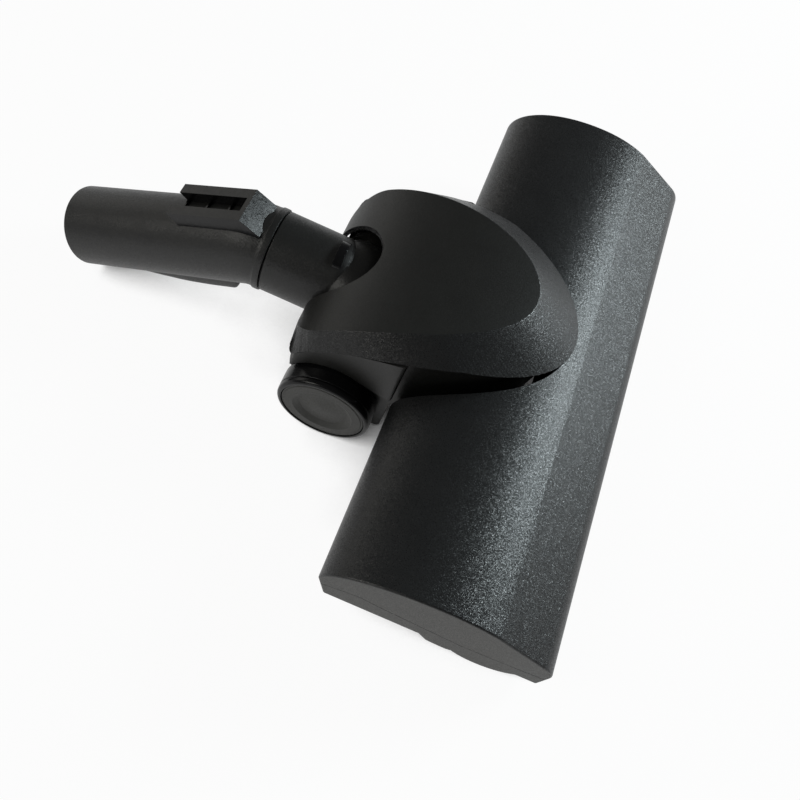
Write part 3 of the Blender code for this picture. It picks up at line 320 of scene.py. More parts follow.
# Lamps: name, direction from the object, distance, size, radiance of the face and colour
LAMPS = (
    ("key", (0.49, -0.755, 0.47), 1.2, (0.4, 0.26), 32.0, (0.86, 0.97, 1.0)),
    ("back", (-0.42, 0.6, 0.72), 1.5, (0.8, 0.6), 3.4, (1.0, 0.985, 0.93)),
    ("rear", (0.42, 0.82, 0.42), 1.5, (1.0, 0.6), 0.9, (1.0, 0.985, 0.93)),
    ("left", (-1.0, 0.3, 0.2), 1.3, (0.6, 0.3), 1.4, (1.0, 1.0, 1.0)),
)

HEAD = Matrix.Translation(HEAD_ORIGIN) @ Matrix.Rotation(HEAD_TILT, 4, "X")


def arc(centre, radius_a, radius_b, start, end, steps):
    """Points of an elliptic arc, angles in degrees, end points included."""
    points = []
    for step in range(steps + 1):
        angle = radians(start + (end - start) * step / steps)
        points.append((centre[0] + radius_a * cos(angle), centre[1] + radius_b * sin(angle)))
    return points


def fillet(before, corner, after, radius, steps=6):
    """Points of a round of the given radius that replaces a corner, in the plane or in space."""
    corner_v = Vector(corner)
    back = (Vector(before) - corner_v).normalized()
    ahead = (Vector(after) - corner_v).normalized()
    half = back.angle(ahead) / 2
    reach = radius / tan(half)
    middle = corner_v + (back + ahead).normalized() * radius / sin(half)
    points = []
    for step in range(steps + 1):
        chord = (corner_v + back * reach).lerp(corner_v + ahead * reach, step / steps)
        points.append(tuple(middle + (chord - middle).normalized() * radius))
    return points


def inset_outline(points, distance):
    """A convex outline moved inwards by a distance, whichever way round its points run."""
    count = len(points)
    doubled_area = 0.0
    for index in range(count):
        x0, y0 = points[index]
        x1, y1 = points[(index + 1) % count]
        doubled_area += x0 * y1 - x1 * y0
    side = 1.0 if doubled_area > 0 else -1.0
    moved = []
    for index in range(count):
        here = Vector(points[index])
        before = (here - Vector(points[index - 1])).normalized()
        after = (Vector(points[(index + 1) % count]) - here).normalized()
        normal_before = Vector((-before.y, before.x)) * side
        normal_after = Vector((-after.y, after.x)) * side
        mitre = (normal_before + normal_after).normalized()
        moved.append(tuple(here + mitre * distance / max(mitre.dot(normal_before), MITRE_LIMIT)))
    return moved


def skin(rings, closed=False, finish_of=None):
    """A bmesh through equal rings of points; finish_of gives each strip between two spots its material."""
    bm = bmesh.new()
    loops = [[bm.verts.new(Vector(point) * MM) for point in ring] for ring in rings]
    spans = len(loops) if closed else len(loops) - 1
    for index in range(spans):
        near = loops[index]
        far = loops[(index + 1) % len(loops)]
        for spot in range(len(near)):
            other = (spot + 1) % len(near)
            face = bm.faces.new((near[spot], near[other], far[other], far[spot]))
            if finish_of:
                face.material_index = finish_of[spot]
    if not closed:
        bm.faces.new(loops[0])
        bm.faces.new(loops[-1])
    bmesh.ops.recalc_face_normals(bm, faces=bm.faces)
    if bm.calc_volume(signed=True) < 0:
        bmesh.ops.reverse_faces(bm, faces=bm.faces)
    return bm


def prism_x(outline, start, end):
    """An outline in (y, z) extruded along X."""
    return skin([[(x, y, z) for y, z in outline] for x in (start, end)])


def prism_z(outline, start, end):
    """An outline in (x, y) extruded along Z."""
    return skin([[(x, y, z) for x, y in outline] for z in (start, end)])


def circle_yz(x, y, z, radius, steps):
    """A ring of points round the X direction."""
    ring = []
    for step in range(steps):
        angle = 2 * pi * step / steps
        ring.append((x, y + radius * cos(angle), z + radius * sin(angle)))
    return ring


def rod(y, z, radius, start, end, steps=72):
    """A cylinder along X."""
    return skin([circle_yz(start, y, z, radius, steps), circle_yz(end, y, z, radius, steps)])


def place_mesh(name, bm, finishes=(), frame_matrix=HEAD):
    """Turn a bmesh into an object in the head frame or in another frame."""
    mesh = bpy.data.meshes.new(name)
    bm.to_mesh(mesh)
    bm.free()
    for finish in finishes:
        mesh.materials.append(finish)
    made = bpy.data.objects.new(name, mesh)
    made.matrix_world = frame_matrix
    bpy.context.scene.collection.objects.link(made)
    return made


def settle(target):
    """Apply an object's modifiers to its mesh."""
    bpy.context.view_layer.update()
    graph = bpy.context.evaluated_depsgraph_get()
    fresh = bpy.data.meshes.new_from_object(target.evaluated_get(graph), depsgraph=graph)
    target.modifiers.clear()
    old = target.data
    target.data = fresh
    bpy.data.meshes.remove(old)


def boolean(target, operation, *tools):
    """Cut or fuse an object with tool shapes, which are removed again."""
    for bm in tools:
        tool = place_mesh("tool", bm, frame_matrix=target.matrix_world.copy())
        modifier = target.modifiers.new("boolean", "BOOLEAN")
        modifier.operation = operation
        modifier.object = tool
        settle(target)
        bpy.data.objects.remove(tool, do_unlink=True)


def cut(target, *tools):
    """Cut tool shapes out of an object."""
    boolean(target, "DIFFERENCE", *tools)


def fuse(target, *tools):
    """Add tool shapes to an object."""
    boolean(target, "UNION", *tools)


def soften(target, width, segments=3, limit=40.0):
    """Round an object's sharp edges for good."""
    modifier = target.modifiers.new("round", "BEVEL")
    modifier.width = width * MM
    modifier.segments = segments
    modifier.limit_method = "ANGLE"
    modifier.angle_limit = radians(limit)
    settle(target)


def finish_piece(target, body, slot, *replaced, sharp=40.0):
    """Smooth a piece, put its mesh in the row frame, let it ride and hide what it stands for."""
    target.data.transform(target.matrix_world)
    target.matrix_world = Matrix()
    target.data.shade_smooth()
    target.data.set_sharp_from_angle(angle=radians(sharp))
    modifier = target.modifiers.new("normals", "WEIGHTED_NORMAL")
    modifier.keep_sharp = True
    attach(target, body)
    if replaced:
        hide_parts(*replaced)


def head_section(steps=40):
    """The head's outer section in (y, z), from the bottom of the rear wall over the top to the lip."""
    rise = HEAD_CREST - FLANK_HEIGHT
    crease_angle = 90.0 + asin(-CREASE_Y / FRONT_ARC_DEPTH) * 180 / pi
    rear = arc((0.0, FLANK_HEIGHT), HEAD_REAR, rise, 0.0, 90.0, steps)
    front = arc((0.0, FLANK_HEIGHT), FRONT_ARC_DEPTH, rise, 90.0, crease_angle, steps // 3)
    crease = front[-1]
    slope = tan(radians(CHAMFER_SLOPE))
    lip_top = (LIP_Y, crease[1] - (crease[0] - LIP_Y) * slope)
    lip = fillet(crease, lip_top, (LIP_Y, SOLE_HEIGHT), LIP_FILLET, 14)
    turn = fillet(front[-3], crease, lip[0], CREASE_ROUND, 6)
    rear_foot = (HEAD_REAR - REAR_DRAFT, SOLE_HEIGHT)
    return [rear_foot] + rear + front[1:-1] + turn + lip + [(LIP_Y, SOLE_HEIGHT)]


def head_block(section):
    """The head's outer form, its end edges rounded."""
    half = HEAD_LENGTH / 2
    steps = 5
    rings = []
    for end in (-1, 1):
        turns = range(steps + 1) if end < 0 else range(steps, -1, -1)
        for step in turns:
            angle = pi / 2 * step / steps
            depth = HEAD_EDGE * (1.0 - sin(angle))
            along = half - HEAD_EDGE * (1.0 - cos(angle))
            ring = inset_outline(section, depth)
            rings.append([(end * along, y, z) for y, z in ring])
    return skin(rings)


def below_seam():
    """A slab of everything below the parting line and half a gap above it."""
    line = [(y, z + GAP / 2) for y, z in SEAM]
    line += [(SEAM[-1][0], -SLAB_DEPTH), (SEAM[0][0], -SLAB_DEPTH)]
    return prism_x(line, -HEAD_LENGTH, HEAD_LENGTH)


def ellipse_nose(nose_y, shoulder_y, widest, rear_y, steps=24):
    """A plan outline: a half ellipse with its nose in front, and straight sides back to rear_y."""
    outline = arc((0.0, shoulder_y), widest, shoulder_y - nose_y, 180.0, 360.0, steps)
    return outline + [(widest, rear_y), (-widest, rear_y)]


def make_head_shell(finish, smooth_end_and_painted_light):
    """The textured shell, with smooth end faces whose lighter grey is partly painted light from the floor.
    """
    section = head_section()
    half = HEAD_LENGTH / 2
    shell = place_mesh("head_shell", head_block(section), [finish, smooth_end_and_painted_light])
    inner = inset_outline(section, HEAD_WALL)
    inner[0] = (inner[0][0], inner[0][1] - 2 * HEAD_WALL)
    inner[-1] = (inner[-1][0], inner[-1][1] - 2 * HEAD_WALL)
    opening = ellipse_nose(RIM_NOSE_Y + CUTOUT_NOSE_GAP, RIM_SHOULDER_Y,
                           RIM_HALF_WIDTH + CUTOUT_SIDE_GAP, HEAD_REAR + 6 * PAST, 96)
    cut(shell, prism_x(inner, HEAD_WALL - half, half - HEAD_WALL), below_seam(),
        prism_z(opening, 0.0, HEAD_CREST + 6 * PAST))
    soften(shell, LIP_ROUND, 3, 42.0)
    # The end faces take the lighter grey: their smooth finish, and painted light from the floor that falls
    # on them
    end_plane = (half - END_FACE_DEPTH) * MM
    for face in shell.data.polygons:
        if abs(face.normal.x) > END_FACE_SQUARENESS and abs(face.center.x) > end_plane:
            face.material_index = 1
    finish_piece(shell, "head", "textured_black", "upper_shell", sharp=30.0)


def cover_height(y, inset=0.0):
    """The height of the cover's smooth top at a distance back, or of its inner side at an inset."""
    reach = min(abs(y - COVER_CENTRE_Y) / (COVER_REACH - inset), 1.0)
    return COVER_BASE + (COVER_TOP - COVER_BASE - inset) * sqrt(1.0 - reach * reach)


def cover_rear(inset=0.0):
    """How far back the cover's top comes down to the level of its rear edge."""
    share = (COVER_REAR_SEAM - COVER_BASE) / (COVER_TOP - COVER_BASE - inset)
    return COVER_CENTRE_Y + (COVER_REACH - inset) * sqrt(1.0 - share * share)


def rim_height(y):
    """The height of the rim's lower edge at a distance back."""
    forward = min(max((RIM_DROP_START_Y - y) / (RIM_DROP_START_Y - RIM_NOSE_Y), 0.0), 1.0)
    drop = RIM_DROP + (RIM_NOSE_DROP - RIM_DROP) * forward
    return max(cover_height(y) - drop, COVER_REAR_SEAM)


def half_width(y, nose_y, shoulder_y, widest):
    """Half the width at y of a plan outline with a half-elliptic nose."""
    share = min(max((shoulder_y - y) / (shoulder_y - nose_y), 0.0), 1.0)
    return widest * sqrt(1.0 - share * share)


def top_half_width(y, inset=0.0):
    """Half the width of the cover's smooth top, which has an elliptic nose and round rear corners."""
    widest = half_width(y, TOP_NOSE_Y + inset, TOP_REAR_Y, TOP_HALF_WIDTH - inset)
    past = max(y - cover_rear(inset) + TOP_CORNER_LENGTH, 0.0) / TOP_CORNER_LENGTH
    return widest - TOP_CORNER_WIDTH * (1.0 - sqrt(max(1.0 - past * past, 0.0)))


def cover_block(inset, bottom, steps, edge=0.0):
    """A block under the cover's smooth top and sloping rim, with a round of the given radius between them.

    The top has material 1 and everything else material 0. The round gets smaller where the top
    narrows to its nose.
    """
    top_nose = TOP_NOSE_Y + inset
    rim_nose = RIM_NOSE_Y + inset
    rings = []
    for step in range(1, steps + 1):
        share = (1.0 - cos(pi * step / steps)) / 2
        top_y = top_nose + (cover_rear(inset) - top_nose) * share
        rim_y = rim_nose + (RIM_REAR_Y - inset - rim_nose) * share
        top_x = top_half_width(top_y, inset)
        rim_x = half_width(rim_y, rim_nose, RIM_SHOULDER_Y, RIM_HALF_WIDTH - inset)
        top_z = cover_height(top_y, inset)
        foot = (rim_x, rim_y, bottom)
        rim = (rim_x, rim_y, rim_height(rim_y) - inset)
        turn = [(top_x, top_y, top_z)]
        if edge:
            turn = fillet(rim, turn[0], (0.0, top_y, top_z), min(edge, top_x / 4), 4)
        half_ring = [foot, rim] + turn
        rings.append(half_ring + [(-x, y, z) for x, y, z in reversed(half_ring)])
    count = len(rings[0])
    finish_of = [0] * count
    finish_of[count // 2 - 1] = 1
    block = skin(rings, finish_of=finish_of)
    bmesh.ops.triangulate(block, faces=block.faces)
    return block


def notch_outline():
    """The plan outline of the notch that the elbow swings in."""
    front = arc((0.0, NOTCH_Y), NOTCH_RADIUS, NOTCH_RADIUS, 180.0, 360.0, 64)
    return front + [(NOTCH_RADIUS, NOTCH_Y + 6 * PAST), (-NOTCH_RADIUS, NOTCH_Y + 6 * PAST)]


def below_rim(steps=90):
    """A slab of everything below the rim's lower edge and a gap above it."""
    start = RIM_NOSE_Y - NOSE_MARGIN
    end = RIM_REAR_Y + 4 * PAST
    line = []
    for step in range(steps + 1):
        y = start + (end - start) * step / steps
        line.append((y, rim_height(y) + GAP))
    line += [(end, -SLAB_DEPTH), (start, -SLAB_DEPTH)]
    return prism_x(line, -2 * RIM_HALF_WIDTH, 2 * RIM_HALF_WIDTH)


def make_cover(rim_finish, top_finish):
    """The cover, open below, with the notch for the elbow and round rear corners."""
    block = cover_block(0.0, COVER_BASE - PAST, 90, EDGE_ROUND)
    cover = place_mesh("cover", block, [rim_finish, top_finish])
    cut(cover, cover_block(COVER_WALL, COVER_BASE - 2 * PAST, 60), below_rim(),
        prism_z(notch_outline(), COVER_BASE - 3 * PAST, COVER_TOP + 2 * PAST))
    near_x = RIM_HALF_WIDTH - REAR_CORNER
    near_y = RIM_REAR_Y - REAR_CORNER
    far_x = RIM_HALF_WIDTH + CORNER_MARGIN
    far_y = RIM_REAR_Y + CORNER_MARGIN
    corner = arc((near_x, near_y), REAR_CORNER, REAR_CORNER, 0.0, 90.0, 16)
    corner += [(near_x, far_y), (far_x, far_y), (far_x, near_y)]
    for side in (-1, 1):
        cut(cover, prism_z([(side * x, y) for x, y in corner], 0.0, COVER_TOP))
    finish_piece(cover, "neck", "satin_black", "neck_cover", sharp=26.0)


def wheel_arch():
    """The outline in (y, z) of the recess that a wheel runs in, cut from the housing's side."""
    front = HEAD_REAR - PAST
    top = [(front, ARCH_FRONT_HEIGHT - ARCH_FRONT_FALL), (HEAD_REAR, ARCH_FRONT_HEIGHT)]
    top += arc((WHEEL_Y, WHEEL_HEIGHT), ARCH_RADIUS, ARCH_RADIUS, ARCH_START_ANGLE, -90.0, ARCH_STEPS)
    return top + [(front, -ARCH_RADIUS)]


def merge_flats(target):
    """Join the triangles of each flat face, so that it is shaded as one."""
    bm = bmesh.new()
    bm.from_mesh(target.data)
    bmesh.ops.dissolve_limit(bm, angle_limit=radians(FLAT_ANGLE), verts=bm.verts, edges=bm.edges)
    bm.to_mesh(target.data)
    bm.free()


def wheel_liner():
    """The outline in (y, z) of the wall behind a wheel's recess, kept inside the housing."""
    front = HEAD_REAR + LINER_FRONT_GAP
    rear = NECK_REAR_Y - LINER_CORNER[0][0]
    outline = [(y, z + LINER_RISE) for y, z in wheel_arch()[:-(ARCH_STEPS // 4)]]
    outline += [(NECK_REAR_Y - ahead, z) for ahead, z in LINER_CORNER]
    outline.append((front, LINER_CORNER[-1][1]))
    return [(min(max(y, front), rear), max(z, LINER_BOTTOM)) for y, z in outline]


def span(side, near, far):
    """Two places along X on one side of the middle, the smaller value first."""
    return sorted((side * near, side * far))


def make_housing(finish):
    """The housing of the CAD with a recess for each wheel in its sides."""
    mesh = frame["nodes"]["neck_housing"].data.copy()
    mesh.transform(HEAD.inverted())
    bm = bmesh.new()
    bm.from_mesh(mesh)
    bmesh.ops.remove_doubles(bm, verts=bm.verts, dist=WELD_DISTANCE)
    bmesh.ops.recalc_face_normals(bm, faces=bm.faces)
    housing = place_mesh("housing", bm, [finish])
    bpy.data.meshes.remove(mesh)
    recess = NECK_HALF_WIDTH - ARCH_DEPTH
    inner = recess - LINER_WALL
    for side in (-1, 1):
        fuse(housing, prism_x(wheel_liner(), *span(side, inner, NECK_HALF_WIDTH - LINER_INSET)))
        cut(housing, prism_x(wheel_arch(), *span(side, recess, ARCH_CUT_END)))
        fuse(housing, rod(WHEEL_Y, WHEEL_HEIGHT, WHEEL_HUB_RADIUS - BOSS_PLAY,
                          *span(side, inner, NECK_HALF_WIDTH - BOSS_INSET), 48))
    merge_flats(housing)
    finish_piece(housing, "neck", "satin_black", "neck_housing", sharp=30.0)


def turned(profile, steps=128):
    """A body of revolution round X from a closed profile of (x, radius) points."""
    return skin([circle_yz(x, 0.0, 0.0, radius, steps) for x, radius in profile], closed=True)


def rounded(points, corners, steps=3):
    """A closed profile whose named corners are rounded; corners maps an index to a radius."""
    made = []
    count = len(points)
    for index, point in enumerate(points):
        if index in corners:
            made += fillet(points[index - 1], point, points[(index + 1) % count], corners[index], steps)
        else:
            made.append(point)
    return made


def tyre_profile(back, face, rim):
    """The tyre's section in (x, radius), with a groove near its face."""
    tuck = back - TYRE_TUCK
    groove = face - GROOVE_PLACE
    corners = [(tuck, rim), (tuck, WHEEL_RADIUS), (groove - GROOVE_HALF_WIDTH, WHEEL_RADIUS),
               (groove, WHEEL_RADIUS - GROOVE_DEPTH), (groove + GROOVE_HALF_WIDTH, WHEEL_RADIUS),
               (face, WHEEL_RADIUS - TYRE_FALL), (face, rim)]
    return rounded(corners, TYRE_ROUNDS, 4)


def disc_profile(back, face, rim):
    """The disc's section in (x, radius): its edge, the dish with a low dome, and the hollow back."""
    hollow_back = back + DISC_INSET
    edge = face - DISC_EDGE_DEPTH
    front = face - DISC_FACE_DEPTH
    dish_floor = face - DISH_DEPTH - DISH_EXTRA_DEPTH
    dish_foot = DISH_RADIUS - DISH_WALL
    outside = rounded([(hollow_back, rim - GAP), (edge, rim - GAP), (edge, rim - DISC_EDGE_WIDTH),
                       (front, rim - DISC_EDGE_WIDTH - DISC_EDGE_SLANT), (front, DISH_RADIUS + DISH_LIP),
                       (dish_floor, dish_foot), (dish_floor + DOME_RISE, AXIS_HOLE)], DISC_ROUNDS, 4)
    dome = []
    for step in range(1, 8):
        share = step / 8
        rise = DOME_RISE * sin(pi / 2 * share) ** 2
        dome.append((dish_floor + rise, (dish_foot - DOME_INSET) * (1.0 - share)))
    bore = AXLE_RADIUS + GAP
    web = face - DISH_DEPTH - WHEEL_WEB
    axle_end = web + DISC_INSET
    inside = [(axle_end, AXIS_HOLE), (axle_end, bore), (hollow_back, bore), (hollow_back, WHEEL_HUB_RADIUS),
              (web, WHEEL_HUB_RADIUS), (web, rim - DISC_RIM_WALL - DISC_RIM_SLANT),
              (hollow_back, rim - DISC_RIM_WALL)]
    return outside[:-1] + dome + [outside[-1]] + inside


def make_wheel(name, side, tyre_finish, disc_finish):
    """A wheel of two pieces, the tyre and the dished disc."""
    back = NECK_HALF_WIDTH + GAP
    face = back + WHEEL_WIDTH
    rim = WHEEL_RADIUS - TYRE_DEPTH
    place = Matrix.Translation(WHEEL_PLACE * MM)
    tyre = turned([(side * x, radius) for x, radius in tyre_profile(back, face, rim)])
    tyre_piece = place_mesh(f"wheel_tyre_{name}", tyre, [tyre_finish], place)
    finish_piece(tyre_piece, f"wheel_{name}", "gloss_black", f"tyre_{name}", sharp=30.0)
    disc = turned([(side * x, radius) for x, radius in disc_profile(back, face, rim)])
    disc_piece = place_mesh(f"wheel_face_{name}", disc, [disc_finish], place)
    finish_piece(disc_piece, f"wheel_{name}", "wheel_grey", f"wheel_disc_{name}", sharp=30.0)


def tube_ring(centre, direction, radius, steps=96):
    """A ring of points round a direction that lies in the YZ plane."""
    across = Vector((1.0, 0.0, 0.0))
    upright = across.cross(direction).normalized()
    ring = []
    for step in range(steps):
        angle = 2 * pi * step / steps
        ring.append(tuple(centre + across * radius * cos(angle) + upright * radius * sin(angle)))
    return ring


def tube_path(distance):
    """Centre and direction of the connector tube at a distance along it, from the swivel."""
    bend = radians(BEND_ANGLE)
    arc_length = BEND_RADIUS * bend
    start = BEND_START - BEND_RADIUS * tan(bend / 2)
    swivel = Vector((0.0, SWIVEL_Y, HINGE_HEIGHT))
    if distance <= start:
        return swivel + Vector((0.0, distance, 0.0)), Vector((0.0, 1.0, 0.0))
    if distance <= start + arc_length:
        angle = (distance - start) / BEND_RADIUS
        centre = Vector((0.0, start + BEND_RADIUS * sin(angle), BEND_RADIUS * (cos(angle) - 1.0)))
        return swivel + centre, Vector((0.0, cos(angle), -sin(angle)))
    direction = Vector((0.0, cos(bend), -sin(bend)))
    turned_at = Vector((0.0, start + BEND_RADIUS * sin(bend), BEND_RADIUS * (cos(bend) - 1.0)))
    return swivel + turned_at + direction * (distance - start - arc_length), direction


def tube_total():
    """Length of the connector tube along its centre line."""
    bend = radians(BEND_ANGLE)
    return BEND_START + TUBE_LENGTH - 2 * BEND_RADIUS * tan(bend / 2) + BEND_RADIUS * bend


def hump_depth(distance):
    """How far the hump under the tube reaches out, at a distance from the swivel."""
    share = (tube_total() - HUMP_START - distance) / HUMP_LENGTH
    if share <= 0.0 or share >= 1.0:
        return 0.0
    if share < HUMP_RISE_END:
        return HUMP_DEPTH * sin(pi / 2 * share / HUMP_RISE_END)
    if share < HUMP_FALL_START:
        return HUMP_DEPTH
    past = (share - HUMP_FALL_START) / (1.0 - HUMP_FALL_START)
    return HUMP_DEPTH * sqrt(max(1.0 - past ** 2, 0.0))


def tube_outline(distance, radius, angles):
    """The tube's outer ring with its hump, as points.

    The hump's section is a rectangle with soft corners, which blends into the round of the tube.
    """
    centre, direction = tube_path(distance)
    across = Vector((1.0, 0.0, 0.0))
    upright = across.cross(direction).normalized()
    depth = hump_depth(distance)
    ring = []
    for angle in angles:
        side = cos(angle)
        down = -sin(angle)
        reach = radius
        if depth > HUMP_LEAST_DEPTH and down > 0.5:
            flat = (TUBE_RADIUS + depth) / down
            flank = HUMP_HALF_WIDTH / max(abs(side), 0.001)
            hump = (flat ** -HUMP_SQUARENESS + flank ** -HUMP_SQUARENESS) ** (-1 / HUMP_SQUARENESS)
            if hump > radius * HUMP_BLEND_START:
                reach = (radius ** HUMP_BLEND + hump ** HUMP_BLEND) ** (1 / HUMP_BLEND)
        ring.append(tuple(centre + across * reach * side + upright * reach * sin(angle)))
    return ring


def tube_outside(total, steps=110, mouth_steps=6):
    """Distance and radius of each ring of the tube's outer side: collar, plain tube, rounded mouth."""
    collar = TUBE_RADIUS + COLLAR_RISE
    collar_end = BEND_START - BEND_RADIUS * tan(radians(BEND_ANGLE) / 2) - COLLAR_END_GAP
    stations = [(2 * GAP + along, collar - fall) for along, fall in COLLAR_FRONT]
    stations += [(collar_end - before, collar - fall) for before, fall in COLLAR_REAR]
    stations += [(collar_end + past, TUBE_RADIUS + rise) for past, rise in COLLAR_FOOT]
    start = stations[-1][0]
    length = total - MOUTH_MARGIN - start
    for step in range(1, steps):
        stations.append((start + length * step / steps, TUBE_RADIUS))
    for step in range(mouth_steps + 1):
        angle = pi / 2 * step / mouth_steps
        stations.append((total - MOUTH_ROUND + MOUTH_ROUND * sin(angle),
                         TUBE_RADIUS - MOUTH_ROUND * (1.0 - cos(angle))))
    return stations


def tube_inside(total, steps=40):
    """Distance and radius of each ring of the tube's bore, from the mouth back to the swivel."""
    stations = [(total, TUBE_BORE + BORE_CHAMFER), (total - BORE_CHAMFER, TUBE_BORE)]
    length = total - 2 * MOUTH_MARGIN
    for step in range(steps + 1):
        stations.append((total - MOUTH_MARGIN - length * step / steps, TUBE_BORE))
    return stations + [(2 * GAP, TUBE_BORE)]


def make_tube(finish):
    """The connector tube, its collar, its hump and its rounded mouth."""
    total = tube_total()
    angles = [2 * pi * step / 180 for step in range(180)]
    rings = [tube_outline(distance, radius, angles) for distance, radius in tube_outside(total)]
    for distance, radius in tube_inside(total):
        centre, direction = tube_path(distance)
        rings.append(tube_ring(centre, direction, radius, len(angles)))
    tube = place_mesh("tube", skin(rings, closed=True), [finish])
    finish_piece(tube, "connector", "satin_black", "connector_tube", sharp=32.0)


def clip_prism(points, half):
    """A prism across the tube from an outline in (distance back from the clip's tip, height)."""
    centre, direction = tube_path(CLIP_TIP)
    upright = Vector((1.0, 0.0, 0.0)).cross(direction).normalized()
    ends = []
    for x in (-half, half):
        start = centre + Vector((x, 0.0, 0.0))
        ends.append([tuple(start - direction * back + upright * up) for back, up in points])
    return skin(ends)


def make_receiver(finish):
    """Two rails joined by an end wall on top of the tube, with low ribs between them."""
    half = CLIP_WIDTH / 2
    high = TUBE_RADIUS + CLIP_HEIGHT
    foot = sqrt(TUBE_RADIUS ** 2 - half ** 2)
    root = foot - CLIP_SINK
    end_foot = foot - CLIP_END_FALL
    side = ((0.0, high), (CLIP_TIP_SLANT, foot), (CLIP_TIP_SLANT, foot - CLIP_TIP_SINK),
            (CLIP_LENGTH, root), (CLIP_LENGTH + CLIP_END_SLANT, end_foot), (CLIP_LENGTH, high))
    clip = place_mesh("receiver", clip_prism(side, half), [finish])
    inside = CLIP_LENGTH - CLIP_END_WALL
    channel = ((-PAST, high + PAST), (-PAST, root), (inside + CLIP_END_SLANT, root),
               (inside + CLIP_END_SLANT, end_foot), (inside, high), (inside, high + PAST))
    cut(clip, clip_prism(channel, half - CLIP_RAIL))
    low = TUBE_RADIUS - CLIP_RIB_SINK
    top = TUBE_RADIUS + GAP + CLIP_RIB_HEIGHT
    for rib in range(CLIP_RIBS):
        near = CLIP_LENGTH * (rib + CLIP_RIB_LEAD) / (CLIP_RIBS + CLIP_RIB_LEAD)
        far = near + CLIP_RIB_WIDTH
        fuse(clip, clip_prism(((near, low), (far, low), (far, top), (near, top)),
                              half - CLIP_RAIL + CLIP_RIB_HOLD))
    bed = []
    for distance in [0.0] + [CLIP_BED_STEP * step for step in range(1, 11)] + [tube_total()]:
        middle, ahead = tube_path(distance)
        bed.append(tube_ring(middle, ahead, TUBE_RADIUS + GAP / 3, 120))
    cut(clip, skin(bed))
    soften(clip, CLIP_EDGE, 3, 30.0)
    finish_piece(clip, "connector", "gloss_black", "latch_receiver", sharp=35.0)


def ball(radius, reach, steps=96, rings=40):
    """A full ball round the origin, a little squared off towards its ends at a reach to each side."""
    slices = []
    for step in range(rings + 1):
        share = sin(pi / 2 * (2 * step / rings - 1.0)) * BALL_END_SHARE
        level = (1.0 - abs(share) ** BALL_SQUARENESS) ** (1 / BALL_SQUARENESS)
        slices.append(circle_yz(reach * share, 0.0, 0.0, radius * level, steps))
    return skin(slices)


def elbow_frame():
    """The frame of the elbow and its tab: the head frame moved to the elbow's hinge."""
    return HEAD @ Matrix.Translation(Vector((0.0, HINGE_Y, HINGE_HEIGHT)) * MM)


def elbow_body(stations):
    """A body of revolution round the elbow's tube, from (distance past the hinge, radius)."""
    ahead = Vector((0.0, 1.0, 0.0))
    return skin([tube_ring(ahead * y, ahead, radius) for y, radius in stations])


def make_elbow(finish):
    """The short tube with its ball-shaped hub, its trunnions and the air's way through."""
    length = SWIVEL_Y - HINGE_Y
    elbow = place_mesh("elbow", ball(HUB_RADIUS, HUB_HALF_WIDTH), [finish], elbow_frame())
    spigot = TUBE_BORE - GAP
    spigot_end = length + SPIGOT_LENGTH
    outer = [(y, TUBE_RADIUS - fall) for y, fall in ELBOW_START]
    outer += [(length - before, TUBE_RADIUS - fall) for before, fall in ELBOW_END]
    outer += [(length, spigot), (spigot_end - SPIGOT_TAPER_LENGTH, spigot),
              (spigot_end, spigot - SPIGOT_TAPER)]
    fuse(elbow, elbow_body(outer))
    trunnion_end = NOTCH_RADIUS + CHEEK_WIDTH + TRUNNION_EXTRA
    for end in (-1, 1):
        fuse(elbow, rod(0.0, 0.0, TRUNNION_RADIUS,
                        *span(end, HUB_HALF_WIDTH - TRUNNION_HOLD, trunnion_end), 48))
    bore = spigot - SPIGOT_WALL
    wedge = [(0.0, 0.0)] + arc((0.0, 0.0), 2 * HUB_RADIUS, 2 * HUB_RADIUS, *AIR_WEDGE, 8)
    mouth = HUB_HALF_WIDTH - HUB_WALL - AIR_SIDE_WALL
    cut(elbow, ball(HUB_RADIUS - HUB_WALL, HUB_HALF_WIDTH - HUB_WALL),
        elbow_body([(0.0, bore), (spigot_end + PAST, bore)]), prism_x(wedge, -mouth, mouth))
    finish_piece(elbow, "elbow", "satin_black", "elbow_tube", sharp=30.0)


def make_tab(finish):
    """The half-moon tab on top of the elbow."""
    outline = arc((0.0, TUBE_RADIUS - TAB_SINK), TAB_HALF_WIDTH, TAB_HEIGHT + TAB_SINK,
                  TAB_START_ANGLE, 180.0 - TAB_START_ANGLE, 32)
    ends = [[(x, y, z) for x, z in outline] for y in (TAB_START, TAB_START + TAB_LENGTH)]
    tab = place_mesh("tab", skin(ends), [finish], elbow_frame())
    seat = TUBE_RADIUS + GAP / 3
    cut(tab, elbow_body([(0.0, seat), (SWIVEL_Y - HINGE_Y, seat)]))
    soften(tab, TAB_EDGE, 3, 40.0)
    finish_piece(tab, "elbow", "gloss_black", "stop_tab", sharp=35.0)


def bristle_spans():
    """The two stretches of the roll that carry bristles, each from the roll's end towards the pulley."""
    core_end = HEAD_LENGTH / 2 - END_WALL - BEARING_WIDTH - GAP - ROLL_END_CLEARANCE
    pulley_half = PULLEY_WIDTH / 2 + FLANGE_WIDTH
    return (("left", BRISTLE_END_GAP - core_end, BELT_X - pulley_half - BRISTLE_PULLEY_GAP),
            ("right", core_end - BRISTLE_END_GAP, BELT_X + pulley_half + BRISTLE_PULLEY_GAP))


